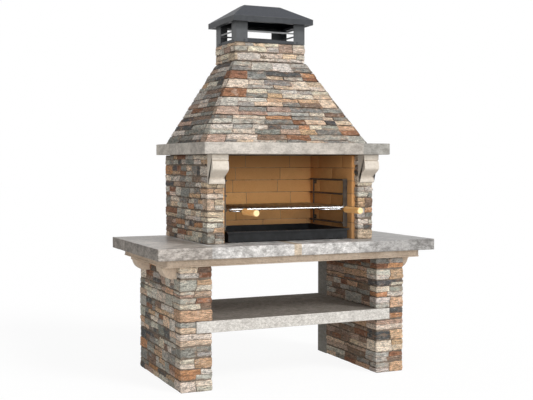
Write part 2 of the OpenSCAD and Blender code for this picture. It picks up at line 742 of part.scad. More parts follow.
// The stones of one hood face: side is the left-hand face, otherwise the front
module hood_face(side, seed) {
    s = beds(0, 1, courses_hood, 7);
    gap_s = stone_joint / hood_h;
    for (k = [0:courses_hood - 1]) {
        mid = (s[k] + s[k + 1]) / 2;
        length = side ? -neck_back * mid - hood_f(mid, 1) : 2 * hood_x(mid, 1);
        cuts = joints(length, stone_l * 1.1, seed + k);
        gap = stone_joint / length / 2;
        for (i = [0:len(cuts) - 2])
            hood_stone(side, cuts[i] / length + (i == 0 ? 0 : gap),
                cuts[i + 1] / length - (i == len(cuts) - 2 ? 0 : gap),
                s[k], s[k + 1] - gap_s, 1 - play_of(seed + 9 * k + i) / stone_t / 2);
    }
}

module hood_front_stones() { color("#b59a80") at_wall() hood_face(false, 500); }
module hood_left_stones() { color("#a8a199") at_wall() hood_face(true, 611); }
module hood_right_stones() { color("#a8a199") at_wall() right_side() hood_face(true, 704); }

module neck_core() {
    x = core_neck_x;
    w = shell_t;
    color("#8f8b84") at_wall() difference() {
        block([-x, -core_neck_y, z_neck], [x, -neck_back, z_cap]);
        block([w - x, w - core_neck_y, z_neck - 1], [x - w, -neck_back - w, z_cap + 1]);
    }
}

// The neck's stones: the front courses cover the corners, and the top course carries the cap
module neck_stones() {
    z = beds(z_neck, z_cap, courses_neck, 8);
    side_l = core_neck_y - neck_back;
    color("#c8b8a2") at_wall() for (k = [0:courses_neck - 1]) {
        h = z[k + 1] - z[k] - (k == courses_neck - 1 ? 0 : stone_joint);
        translate([-neck_w / 2, -core_neck_y, z[k]]) course(neck_w, h, stone_l * 0.8, 810 + k);
        translate([-core_neck_x, -neck_back, z[k]]) rotate([0, 0, -90]) course(side_l, h, stone_l, 820 + k);
        translate([core_neck_x, -core_neck_y, z[k]]) rotate([0, 0, 90]) course(side_l, h, stone_l, 830 + k);
    }
}

// The base frame lies inside the corner posts
module cap_base_frame() {
    x = cap_w / 2 - steel_t;
    color("#3c4043") at_wall() difference() {
        block([-x, cap_y0 + steel_t, z_cap], [x, cap_y1 - steel_t, z_cap + cap_base_h]);
        block([cap_base_w - x, cap_y0 + steel_t + cap_base_w, z_cap - 1],
            [x - cap_base_w, cap_y1 - steel_t - cap_base_w, z_cap + cap_base_h + 1]);
        cap_screw_places() cylinder(r = screw_r + snug, h = 10 * steel_t, center = true);
    }
}

// One corner post folded from sheet, front left: two leaves up to the soffit, a hole at the foot of each,
// and a tab at the top for the soffit's screw
module cap_post() {
    h = cap_h + steel_t;
    color("#45494c") difference() {
        translate([-cap_w / 2, 0, z_cap]) union() {
            linear_extrude(h) polygon([[0, 0], [post_leaf, 0], [post_leaf, steel_t], [steel_t, steel_t],
                [steel_t, post_leaf], [0, post_leaf]]);
            translate([0, 0, h - steel_t]) cube([post_tab, post_tab, steel_t]);
        }
        post_screw_places() cylinder(r = screw_r + snug, h = 4 * steel_t, center = true);
        tab_screw_place() cylinder(r = screw_r + snug, h = 6 * steel_t, center = true);
    }
}

// Runs its children at the foot screws of the front left post, each along its screw's axis
module post_screw_places() {
    z = z_cap + cap_base_h / 2;
    translate([post_leaf * 0.7 - cap_w / 2, steel_t / 2, z]) rotate([90, 0, 0]) children();
    translate([steel_t / 2 - cap_w / 2, post_leaf * 0.7, z]) rotate([0, -90, 0]) children();
}

// Runs its children at the front left post's top screw, which goes down through the soffit
module tab_screw_place() {
    mid = (post_tab + steel_t) / 2;
    translate([mid - cap_w / 2, mid, z_eaves + 1.5 * steel_t]) children();
}

// Carries the front left post to one corner of the cap
module cap_corner(right, rear) {
    translate([0, rear ? cap_y1 : cap_y0, 0]) mirror([0, rear ? 1 : 0, 0])
        mirror([right ? 1 : 0, 0, 0]) children();
}

module cap_screw_places() {
    for (right = [false, true], rear = [false, true]) cap_corner(right, rear) post_screw_places() children();
}

module cap_post_front_left() { at_wall() cap_corner(false, false) cap_post(); }
module cap_post_front_right() { at_wall() cap_corner(true, false) cap_post(); }
module cap_post_rear_left() { at_wall() cap_corner(false, true) cap_post(); }
module cap_post_rear_right() { at_wall() cap_corner(true, true) cap_post(); }

// The space inside the four posts between two levels, smaller by a margin all round
module cap_space(margin, z0, z1) {
    x = cap_w / 2 - margin;
    block([-x, cap_y0 + margin, z0], [x, cap_y1 - margin, z1]);
}

// The bars half way up: one ring of flat steel, carried on the inside of the posts
module cap_bars() {
    z = z_cap + cap_bar_z;
    color("#55595c") at_wall() difference() {
        cap_space(steel_t, z, z + cap_bar_h);
        cap_space(2 * steel_t, z - 1, z + cap_bar_h + 1);
    }
}

// The soffit: a flat ring on the posts, inside the roof's lip, with a collar that stands up round its
// opening and a gusset over the tab of each post
module cap_soffit() {
    x = roof_x - steel_t - snug;
    z = z_eaves + steel_t;
    color("#2c2e30") at_wall() difference() {
        union() {
            difference() {
                union() {
                    block([-x, roof_y0 + steel_t + snug, z], [x, roof_y1 - steel_t - snug, z + steel_t]);
                    cap_space(0, z, z + steel_t + cap_collar_h);
                }
                cap_space(steel_t, z - 1, z + steel_t + cap_collar_h + 1);
            }
            for (right = [false, true], rear = [false, true]) cap_corner(right, rear)
                translate([-cap_w / 2, 0, z]) cube([post_tab, post_tab, steel_t]);
        }
        for (right = [false, true], rear = [false, true]) cap_corner(right, rear)
            tab_screw_place() cylinder(r = screw_r + snug, h = 4 * steel_t, center = true);
    }
}

// The roof: fascia with a return lip, four slopes and a flat ridge, all one folded sheet thickness
module cap_roof() {
    t = steel_t;
    lip = roof_lip;
    z1 = z_eaves + fascia_h;
    z2 = z1 + roof_rise;
    r = ridge_l / 2;
    r0 = cap_mid_y - ridge_w / 2;
    r1 = cap_mid_y + ridge_w / 2;
    color("#4a4e52") at_wall() union() {
        difference() {
            block([-roof_x, roof_y0, z_eaves], [roof_x, roof_y1, z1]);
            block([t - roof_x, roof_y0 + t, z_eaves + t], [roof_x - t, roof_y1 - t, z1 + 1]);
            block([lip - roof_x, roof_y0 + lip, z_eaves - 1], [roof_x - lip, roof_y1 - lip, z1]);
        }
        difference() {
            taper([roof_x, roof_y0, roof_y1, z1], [r, r0, r1, z2]);
            taper([roof_x - t, roof_y0 + t, roof_y1 - t, z1 - 0.01], [r - t, r0 + t, r1 - t, z2 - t]);
        }
    }
}

// A screw of the cap: its head seats half a sheet above the place
module cap_screw() {
    union() {
        translate([0, 0, -3 * steel_t]) cylinder(r = screw_r, h = 3.5 * steel_t + 1);
        translate([0, 0, steel_t / 2]) cylinder(r = screw_r * 1.9, h = 2.4);
    }
}

// Eight screws at the posts' feet and four down through the soffit
module cap_screws() {
    color("#6a6e70") at_wall() {
        cap_screw_places() cap_screw();
        for (right = [false, true], rear = [false, true]) cap_corner(right, rear)
            tab_screw_place() cap_screw();
    }
}

// One rod along X, Y or Z between two points that differ in one direction only
module rod(p, q, d) {
    v = q - p;
    turn = v[0] != 0 ? [0, v[0] > 0 ? 90 : -90, 0] : v[1] != 0 ? [v[1] > 0 ? -90 : 90, 0, 0] : [0, 0, 0];
    translate(p) rotate(turn) cylinder(d = d, h = norm(v));
}

// A quarter bend in the XY plane about a centre, starting at the angle from
module bend(centre, r, d, from) {
    translate(centre) rotate([0, 0, from]) rotate_extrude(angle = 90) translate([r, 0]) circle(d = d);
}

// The left rack: a flat front post, a round rear post, rungs between them, and tabs for the screws
module rack() {
    top = rung_z(rung_count - 1) + rack_rod_d / 2;
    low = z_top + tray_h + rack_low_gap;
    xr = -post_x1 + rack_rod_d / 2;
    y0 = rack_y0 - rack_post_t / 2;
    color("#4b4a47") difference() {
        union() {
            block([-post_x1, y0, low], [-post_x0, y0 + rack_post_t, top]);
            rod([xr, rack_y1, low], [xr, rack_y1, top], rack_rod_d);
            for (i = [0:rung_count - 1]) {
                rod([-rung_x, y0, rung_z(i)], [-rung_x, rack_y1, rung_z(i)], rack_rod_d);
                rod([-rung_x, rack_y1, rung_z(i)], [xr, rack_y1, rung_z(i)], rack_rod_d);
                translate([-rung_x, rack_y1, rung_z(i)]) sphere(d = rack_rod_d);
            }
            for (z = tab_z) {
                block([-lining_x, y0, z - tab_h / 2], [-tab_x, rack_y0 + tab_l, z + tab_h / 2]);
                block([-lining_x, rack_y1 - tab_l, z - tab_h / 2], [-tab_x, rack_y1 + 2, z + tab_h / 2]);
            }
        }
        screw_places() rotate([0, -90, 0]) cylinder(r = screw_r + 0.2, h = 20, center = true);
    }
}

module rack_left() { at_wall() rack(); }
module rack_right() { at_wall() right_side() rack(); }

// A rack's screw: its shank lies in the firebrick and its head on the tab
module rack_screw() {
    seat = lining_x - tab_x;
    rotate([0, 90, 0]) union() {
        translate([0, 0, -rack_screw_l]) cylinder(r = screw_r, h = rack_screw_l + seat + 1);
        translate([0, 0, seat]) cylinder(r = screw_r * 2, h = 3);
    }
}

module rack_screws() {
    color("#77756f") at_wall() {
        screw_places() rack_screw();
        right_side() screw_places() rack_screw();
    }
}

// The charcoal tray: a folded pan with an outward lip, standing on two feet that run from front to back
tray_y0 = wall_y0 + tray_front_set;
tray_y1 = lining_y1 - tray_rear_gap;
module charcoal_tray() {
    t = tray_t;
    x1 = tray_w / 2;
    x = x1 - tray_lip;
    z0 = z_top + tray_foot;
    z1 = z_top + tray_h;
    color("#1e1f20") at_wall() union() {
        difference() {
            union() {
                block([-x, tray_y0 + tray_lip, z0], [x, tray_y1 - tray_lip, z1]);
                block([-x1, tray_y0, z1 - t], [x1, tray_y1, z1]);
                block([-x1, tray_y0, z1 - tray_fold], [x1, tray_y0 + t, z1]);
            }
            block([t - x, tray_y0 + tray_lip + t, z0 + t], [x - t, tray_y1 - tray_lip - t, z1 + 1]);
        }
        for (s = [-1, 1])
            block([s * x * 0.8 - tray_foot_w / 2, tray_y0 + 2 * tray_lip, z_top + snug],
                [s * x * 0.8 + tray_foot_w / 2, tray_y1 - 2 * tray_lip, z0 + t]);
    }
}

// The grill's outer rod: four straights and four bends in one ring
module grill_frame() {
    r = grill_corner_r;
    d = frame_rod_d;
    x = grill_x;
    z = grill_z;
    color("#c9cbcc") at_wall() union() {
        rod([r - x, grill_y0, z], [x - r, grill_y0, z], d);
        rod([r - x, grill_y1, z], [x - r, grill_y1, z], d);
        for (s = [-1, 1]) rod([s * x, grill_y0 + r, z], [s * x, grill_y1 - r, z], d);
        bend([x - r, grill_y1 - r, z], r, d, 0);
        bend([r - x, grill_y1 - r, z], r, d, 90);
        bend([r - x, grill_y0 + r, z], r, d, 180);
        bend([x - r, grill_y0 + r, z], r, d, 270);
    }
}

// Two cross rods under the wires, between the outer rod's sides
module grill_cross_rods() {
    x = grill_x - frame_rod_d / 2 - snug;
    z = grill_z + frame_rod_d / 2 - cross_rod_d / 2;
    color("#bfc1c2") at_wall() for (k = [1, 2])
        rod([-x, grill_y0 + grill_d * k / 3, z], [x, grill_y0 + grill_d * k / 3, z], cross_rod_d);
}

// The cooking wires lie on the front and rear rods and on the cross rods, and end just past them
module grill_wires() {
    reach = 5;
    pitch = 2 * (grill_x - grill_corner_r) / (wire_count - 1);
    z = grill_z + frame_rod_d / 2 + wire_d / 2 + snug;
    color("#d5d7d8") at_wall() for (i = [0:wire_count - 1])
        translate([grill_corner_r - grill_x + i * pitch, grill_y0 - reach, z]) rotate([-90, 0, 0])
            cylinder(d = wire_d, h = grill_d + 2 * reach);
}

// The left fork: a rod bent into a flat U under the grill's front bar, and a tang into the handle
module fork() {
    r = 3 * fork_d;
    y = grill_y0 - fork_out;
    xa = -fork_out_x;
    xb = -fork_in_x;
    z = fork_z;
    color("#c9cbcc") union() {
        rod([xa, grill_y0 + 8, z], [xa, y + r, z], fork_d);
        rod([xb, grill_y0 + 8, z], [xb, y + r, z], fork_d);
        rod([xa + r, y, z], [xb - r, y, z], fork_d);
        bend([xa + r, y + r, z], r, fork_d, 180);
        bend([xb - r, y + r, z], r, fork_d, 270);
        rod([-handle_x, y, z], [-handle_x, handle_y1 - tang_l, z], fork_d);
    }
}

module fork_left() { at_wall() fork(); }
module fork_right() { at_wall() right_side() fork(); }

// A turned handle, drawn along +Z from its front end: rounded ends, a slight waist, a neck for the collar
// and a bore for the tang
neck_r = handle_d / 2 - 5;
module handle() {
    r = handle_d / 2;
    e = 4;
    bore = fork_d / 2 + snug;
    color("#c98f4e") translate([-handle_x, handle_y0, fork_z]) rotate([-90, 0, 0]) rotate_extrude()
        polygon(concat(
            [[0, 0]], [for (a = [0:15:90]) [r - e + e * sin(a), e - e * cos(a)]],
            [for (t = [0.1:0.1:0.9]) [r - 1.2 * sin(180 * t), e + (handle_l - ferrule_l - 2 * e) * t]],
            [[r, handle_l - ferrule_l - e], [r - e, handle_l - ferrule_l],
                [neck_r, handle_l - ferrule_l], [neck_r, handle_l], [bore, handle_l],
                [bore, handle_l - tang_l - 1], [0, handle_l - tang_l - 1]]));
}

module handle_left() { at_wall() handle(); }
module handle_right() { at_wall() right_side() handle(); }

// The collars round the handles' necks
module handle_ferrules() {
    color("#b98a4a") at_wall() for (s = [-1, 1])
        translate([s * handle_x, handle_y1, fork_z]) rotate([90, 0, 0]) difference() {
            cylinder(r = neck_r + ferrule_t, h = ferrule_l - snug);
            translate([0, 0, -1]) cylinder(r = neck_r + snug, h = ferrule_l + 2);
        }
}

leg_left_core();
leg_right_core();
leg_left_front_stones();
leg_left_outer_stones();
leg_left_inner_stones();
leg_right_front_stones();
leg_right_outer_stones();
leg_right_inner_stones();
shelf_slab();
worktop_moulding();
worktop_slab();
worktop_corbel_left_front();
worktop_corbel_left_rear();
worktop_corbel_right_front();
worktop_corbel_right_rear();
wall_left_core();
wall_right_core();
back_panel();
wall_left_front_stones();
wall_left_outer_stones();
wall_right_front_stones();
wall_right_outer_stones();
lining_back_bricks();
lining_left_bricks();
lining_right_bricks();
mantel_corbel_left();
mantel_corbel_right();
mantel_slab();
hood_shell();
hood_front_stones();
hood_left_stones();
hood_right_stones();
neck_core();
neck_stones();
cap_base_frame();
cap_post_front_left();
cap_post_front_right();
cap_post_rear_left();
cap_post_rear_right();
cap_bars();
cap_soffit();
cap_roof();
cap_screws();
rack_left();
rack_right();
rack_screws();
charcoal_tray();
grill_frame();
grill_cross_rods();
grill_wires();
fork_left();
fork_right();
handle_left();
handle_right();
handle_ferrules();
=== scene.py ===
"""Looks of an outdoor masonry barbecue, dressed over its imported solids.

Lengths are in metres, in the frame of the solids: +X to the right, -Y to the front and +Z up.
The stones, slabs, bricks and wooden handles are new surfaces worked out as arrays. The concrete, the steel
and the wires keep their solids and get a finish.
"""
from __future__ import annotations

import logging
import math
from dataclasses import dataclass
from enum import Enum

import bpy
import numpy as np
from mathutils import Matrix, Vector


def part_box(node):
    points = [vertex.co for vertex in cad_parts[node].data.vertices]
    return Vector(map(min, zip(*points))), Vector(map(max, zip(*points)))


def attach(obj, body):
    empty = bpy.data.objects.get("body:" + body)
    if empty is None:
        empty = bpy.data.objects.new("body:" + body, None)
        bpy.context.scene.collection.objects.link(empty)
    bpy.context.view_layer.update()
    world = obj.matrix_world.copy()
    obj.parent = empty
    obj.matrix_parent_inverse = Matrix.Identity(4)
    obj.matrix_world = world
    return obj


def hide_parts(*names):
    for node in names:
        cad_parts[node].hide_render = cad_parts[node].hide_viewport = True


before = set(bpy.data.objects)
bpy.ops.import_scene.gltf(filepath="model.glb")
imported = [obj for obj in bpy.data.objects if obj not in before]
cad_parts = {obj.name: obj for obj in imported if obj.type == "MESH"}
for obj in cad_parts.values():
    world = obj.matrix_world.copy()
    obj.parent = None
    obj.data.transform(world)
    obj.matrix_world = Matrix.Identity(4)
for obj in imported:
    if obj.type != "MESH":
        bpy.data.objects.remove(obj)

LOG = logging.getLogger("barbecue")
MASONRY, GRILL = "masonry", "grill"
# A height that no piece reaches, for a painted shade or a change of finish that a piece doesn't have.
NEVER = 9.0
# Two places closer than this on a course are one.
CLOSE = 1e-6
Array = np.ndarray
Colour = tuple[float, float, float, float]
Material = bpy.types.Material
Socket = bpy.types.NodeSocket
WHITE: Colour = (1.0, 1.0, 1.0, 1.0)


def paint(red: int, green: int, blue: int) -> Colour:
    """The linear values that shaders take for a display colour from 0 to 255, by the sRGB curve.

    Args:
        red: Display value.
        green: Display value.
        blue: Display value.

    Returns:
        The colour, opaque.
    """
    shares = np.array([red, green, blue]) / 255
    linear = np.where(shares <= 0.04045, shares / 12.92, ((shares + 0.055) / 1.055) ** 2.4)
    return (*map(float, linear), 1.0)


class Tone(Enum):
    """The tones of the split stones, as display values."""

    PALE_GREY = (223, 215, 203)
    SILVER = (191, 188, 179)
    GREY = (150, 149, 143)
    CHARCOAL = (95, 96, 96)
    CREAM = (237, 223, 205)
    SAND = (228, 204, 178)
    TAN = (213, 179, 147)
    ORANGE = (202, 151, 113)
    RUST = (151, 109, 85)
    BROWN = (144, 122, 107)
    PINK = (196, 170, 152)

    @property
    def colour(self) -> Colour:
        """The tone in linear values."""
        return paint(*self.value)

    @classmethod
    def rows(cls, text: str) -> tuple[tuple[Tone, ...], ...]:
        """Courses of tones from their names: commas part the courses, and spaces part the tones."""
        return tuple(tuple(cls[name] for name in course.split()) for course in text.split(","))


class Side(Enum):
    """The way a face of stones looks out."""

    LEFT = "left"
    RIGHT = "right"
    FRONT = "front"


def hashed(column: Array, row: Array, seed: int) -> Array:
    """A value from 0 to 1 for each lattice point: its two numbers and the seed, mixed by products and shifts.

    Args:
        column: The point's first number.
        row: Its second number.
        seed: Gives another set of values.

    Returns:
        The values.
    """
    wide = np.uint64(0xFFFFFFFF)
    first, second = (part.astype(np.int64).astype(np.uint64) for part in (column, row))
    mixed = (first * np.uint64(374761393) + second * np.uint64(668265263)
             + np.uint64(seed % 100003) * np.uint64(2246822519)) & wide
    for shift, factor in ((13, 1274126177), (15, 2654435769)):
        mixed = ((mixed ^ (mixed >> np.uint64(shift))) * np.uint64(factor)) & wide
    return (mixed ^ (mixed >> np.uint64(16))).astype(float) / float(wide)


def smooth_noise(along: Array, up: Array, seed: int) -> Array:
    """Noise from -1 to 1: the lattice values round a point, blended by the smoothstep of its place in a cell.

    Args:
        along: The place's first coordinate, in cells.
        up: Its second coordinate.
        seed: Gives another noise.

    Returns:
        The noise at each place.
    """
    column, row = np.floor(along), np.floor(up)
    a, b = along - column, up - row
    a, b = a * a * (3 - 2 * a), b * b * (3 - 2 * b)
    low, high = (hashed(column, line, seed) * (1 - a) + hashed(column + 1, line, seed) * a
                 for line in (row, row + 1))
    return 2 * (low * (1 - b) + high * b) - 1


def layered(x: Array, y: Array, *layers: tuple[float, float, float, int]) -> Array:
    """A sum of noises, each given by its share, the width and the height of its cells, and its seed."""
    return sum(share * smooth_noise(x / width, y / height, seed) for share, width, height, seed in layers)


class Form:
    """The points, faces and point values of one mesh, gathered as arrays."""

    def __init__(self) -> None:
        """Starts with nothing in it."""
        self.points: list[Array] = []
        self.quads: list[Array] = []
        self.smooth: list[Array] = []
        self.caps: list[Array] = []
        self.values: dict[str, list[Array]] = {}
        self.count = 0

    def grid(self, points: Array, loop: bool = False, flat_columns: tuple[int, ...] = (),
             **values: Array) -> None:
        """Adds rings of points, each joined to the next by four-sided faces, with a flat face at both ends.

        Args:
            points: Rings by points by three.
            loop: Whether the last ring joins the first instead.
            flat_columns: The columns whose faces aren't smoothed, counted from either end.
            values: Point values, rings by points for numbers, or by four more for colours.
        """
        rows, columns = points.shape[:2]
        index = self.count + np.arange(rows * columns).reshape(rows, columns)
        self.points.append(points.reshape(-1, 3))
        for name, value in values.items():
            self.values.setdefault(name, []).append(value.reshape(rows * columns, -1))
        self.count += rows * columns
        if loop:
            index = np.concatenate([index, index[:1]])
        else:
            self.caps += [index[0], index[-1][::-1]]
        index = np.concatenate([index, index[:, :1]], axis=1)
        faces = np.stack([index[:-1, :-1], index[1:, :-1], index[1:, 1:], index[:-1, 1:]], axis=-1)
        smooth = np.ones(faces.shape[:2], bool)
        smooth[:, list(flat_columns)] = False
        self.quads.append(faces.reshape(-1, 4))
        self.smooth.append(smooth.ravel())

    def mesh(self, name: str) -> bpy.types.Mesh:
        """Makes the mesh, with its faces turned outwards: their volume under the origin's view is positive.

        Args:
            name: Name of the mesh.

        Returns:
            The mesh with its point values.
        """
        points, quads, caps = np.concatenate(self.points), np.concatenate(self.quads), self.caps
        a, b, c, d = (points[quads[:, k]] for k in range(4))
        if (np.einsum("ij,ij->i", a, np.cross(b, c)) + np.einsum("ij,ij->i", a, np.cross(c, d))).sum() < 0:
            quads, caps = quads[:, ::-1], [cap[::-1] for cap in caps]
        mesh = bpy.data.meshes.new(name)
        mesh.vertices.add(len(points))
        mesh.vertices.foreach_set("co", points.ravel())
        corners = np.concatenate([quads.ravel(), *caps]).astype(np.int32)
        lengths = np.concatenate([np.full(len(quads), 4), [len(cap) for cap in caps]]).astype(np.int32)
        mesh.loops.add(len(corners))
        mesh.loops.foreach_set("vertex_index", corners)
        mesh.polygons.add(len(lengths))
        starts = np.concatenate([[0], np.cumsum(lengths)[:-1]]).astype(np.int32)
        mesh.polygons.foreach_set("loop_start", starts)
        mesh.polygons.foreach_set("use_smooth", np.concatenate([*self.smooth, np.zeros(len(caps), bool)]))
        for value_name, parts in self.values.items():
            value = np.concatenate(parts)
            colour = value.shape[1] == 4
            layer = mesh.attributes.new(value_name, "FLOAT_COLOR" if colour else "FLOAT", "POINT")
            layer.data.foreach_set("color" if colour else "value", value.ravel())
        mesh.update(calc_edges=True)
        mesh.validate()
        return mesh

    def settle(self, name: str, material: Material, slot: str, body: str, *nodes: str) -> None:
        """Makes the piece and gives it its finish, its body and the nodes that it stands for.

        Args:
            name: Name of the piece.
            material: Its finish.
            slot: Not used.
            body: The body that it rides on.
            nodes: The solids that it replaces.
        """
        piece = bpy.data.objects.new(name, self.mesh(name))
        bpy.context.scene.collection.objects.link(piece)
        piece.data.materials.append(material)
        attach(piece, body)
        if nodes:
            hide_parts(*nodes)
        LOG.info("%s: %d points, rides on %s", piece.name, len(piece.data.vertices), body)


def dress(material: Material, nodes: str) -> None:
    """Puts a finish on solids that keep their shape.

    Args:
        material: The finish.
        nodes: Their names, parted by spaces.
    """
    for node in nodes.split():
        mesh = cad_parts[node].data
        mesh.materials.clear()
        mesh.materials.append(material)
        LOG.info("%s: keeps its solid", node)


def corners_of(node: str) -> tuple[Array, Array]:
    """Lowest and highest corner of a node at rest, as arrays."""
    low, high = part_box(node)
    return np.array(low), np.array(high)


def loose_parts(node: str) -> list[Array]:
    """The corner points of each loose part of a node, from the lowest part to the highest.

    Points at one place count as one. Each point starts with its own label, and every triangle hands its
    lowest label to its three points until nothing changes.

    Args:
        node: Name of the node.

    Returns:
        An array of points for each part.
    """
    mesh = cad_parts[node].data
    places = np.empty(3 * len(mesh.vertices))
    mesh.vertices.foreach_get("co", places)
    loops = np.empty(len(mesh.loops), np.int32)
    mesh.loops.foreach_get("vertex_index", loops)
    points, same = np.unique(np.round(places.reshape(-1, 3), 5), axis=0, return_inverse=True)
    triangles = same.ravel()[loops].reshape(-1, 3)
    label, before = np.arange(len(points)), None
    while before is None or not np.array_equal(label, before):
        before = label.copy()
        np.minimum.at(label, triangles.ravel(), np.repeat(before[triangles].min(axis=1), 3))
        label = label[label]
    parts = [points[label == name] for name in np.unique(label)]
    return sorted(parts, key=lambda part: tuple(np.round(part.min(axis=0)[[2, 0, 1]], 3)))


def courses_of(node: str, side: Side) -> list[list[Array]]:
    """The stones of a node by course, the lowest first.

    Args:
        node: Name of the node.
        side: The way its face looks: a front's courses run along X, and a side's along Y.

    Returns:
        The points of each stone, course by course.
    """
    least_step = 0.012
    courses: list[list[Array]] = []
    start = -1.0
    for part in loose_parts(node):
        if part[:, 2].min() > start + least_step:
            courses.append([])
            start = part[:, 2].min()
        courses[-1].append(part)
    way = 0 if side is Side.FRONT else 1
    return [sorted(course, key=lambda part: part[:, way].min()) for course in courses]


def span_of(parts: list[Array]) -> tuple[Array, Array]:
    """Lowest and highest corner of some stones or bricks."""
    points = np.concatenate(parts)
    return points.min(axis=0), points.max(axis=0)


class Sketch:
    """Short calls that add shader nodes to one tree."""

    def __init__(self, tree: bpy.types.NodeTree) -> None:
        """Keeps the tree."""
        self.tree = tree

    def put(self, kind: str, settings: dict | None = None, ordered: tuple = (),
            **named: object) -> bpy.types.Node:
        """Adds a node.

        Args:
            kind: The node's type.
            settings: Its properties.
            ordered: Values or sockets for its first inputs.
            named: The same for inputs by name; an underscore in a name stands for a space.

        Returns:
            The node.
        """
        node = self.tree.nodes.new(kind)
        for name, value in (settings or {}).items():
            setattr(node, name, value)
        for socket, value in zip(node.inputs, ordered):
            self.feed(socket, value)
        for name, value in named.items():
            self.feed(node.inputs[name.replace("_", " ")], value)
        return node

    def feed(self, socket: Socket, value: object) -> None:
        """Links another socket to this one, or sets its value.

        Args:
            socket: The input.
            value: A socket, a number or a colour.
        """
        if isinstance(value, Socket):
            self.tree.links.new(value, socket)
        else:
            socket.default_value = value

    def math(self, operation: str, first: object, second: object = 0.0, clamp: bool = False) -> Socket:
        """The result of one sum on two numbers."""
        settings = {"operation": operation, "use_clamp": clamp}
        return self.put("ShaderNodeMath", settings, (first, second)).outputs[0]

    def plus(self, first: object, second: object) -> Socket:
        """Two numbers added."""
        return self.math("ADD", first, second)

    def less(self, first: object, second: object) -> Socket:
        """The second number taken from the first."""
        return self.math("SUBTRACT", first, second)

    def times(self, first: object, second: object) -> Socket:
        """Two numbers multiplied."""
        return self.math("MULTIPLY", first, second)

    def place(self) -> Socket:
        """The place on the object."""
        return self.put("ShaderNodeTexCoord").outputs["Object"]

    def value(self, name: str, output: str = "Fac") -> Socket:
        """A point value of the mesh."""
        return self.put("ShaderNodeAttribute", {"attribute_name": name}).outputs[output]

    def along(self, place: object, axis: str) -> Socket:
        """One coordinate of a place."""
        return self.put("ShaderNodeSeparateXYZ", Vector=place).outputs[axis]

    def stretched(self, place: object, y: float = 1.0, z: float = 1.0) -> Socket:
        """A place stretched along Y and Z."""
        return self.put("ShaderNodeVectorMath", {"operation": "MULTIPLY"}, (place, (1.0, y, z))).outputs[0]

    def sized(self, given: bpy.types.Node, scale: str) -> Socket:
        """A group's given place, scaled by one of its other values."""
        return self.put("ShaderNodeVectorMath", {"operation": "SCALE"}, (given.outputs["Place"],),
                        Scale=given.outputs[scale]).outputs[0]

    def noise(self, place: object, scale: float, detail: float = 3.0, rough: float = 0.55) -> Socket:
        """Noise from 0 to 1 at a place."""
        return self.put("ShaderNodeTexNoise", Vector=place, Scale=scale, Detail=detail,
                        Roughness=rough).outputs["Fac"]

    def spread(self, value: object, low: float, high: float, to_low: float = 0.0,
               to_high: float = 1.0) -> Socket:
        """A value carried from one range to another with a soft start and end."""
        return self.put("ShaderNodeMapRange", {"interpolation_type": "SMOOTHSTEP"}, Value=value, From_Min=low,
                        From_Max=high, To_Min=to_low, To_Max=to_high).outputs[0]

    def blend(self, share: object, first: object, second: object, way: str = "MIX") -> Socket:
        """Mixes two colours.

        Args:
            share: How much of the second is taken.
            first: The first colour.
            second: The second colour.
            way: How they are mixed.

        Returns:
            The mixed colour.
        """
        node = self.put("ShaderNodeMix", {"data_type": "RGBA", "blend_type": way})
        for k, value in ((0, share), (6, first), (7, second)):
            self.feed(node.inputs[k], value)
        return node.outputs[2]

    def shaded(self, share: object, colour: object, shade: object) -> Socket:
        """A colour, multiplied by a shade where the share is 1."""
        return self.blend(share, colour, self.blend(1.0, colour, shade, "MULTIPLY"))

    def group(self, tree: bpy.types.NodeTree, **named: object) -> bpy.types.NodeOutputs:
        """Places a shared group with its own values."""
        return self.put("ShaderNodeGroup", {"node_tree": tree}, **named).outputs

    def patched(self, tree: bpy.types.NodeTree, share: float, base: object, **named: object) -> Socket:
        """A colour with a share of the patina's patches over it."""
        return self.blend(share, base, self.group(tree, Base=base, **named)["Color"])


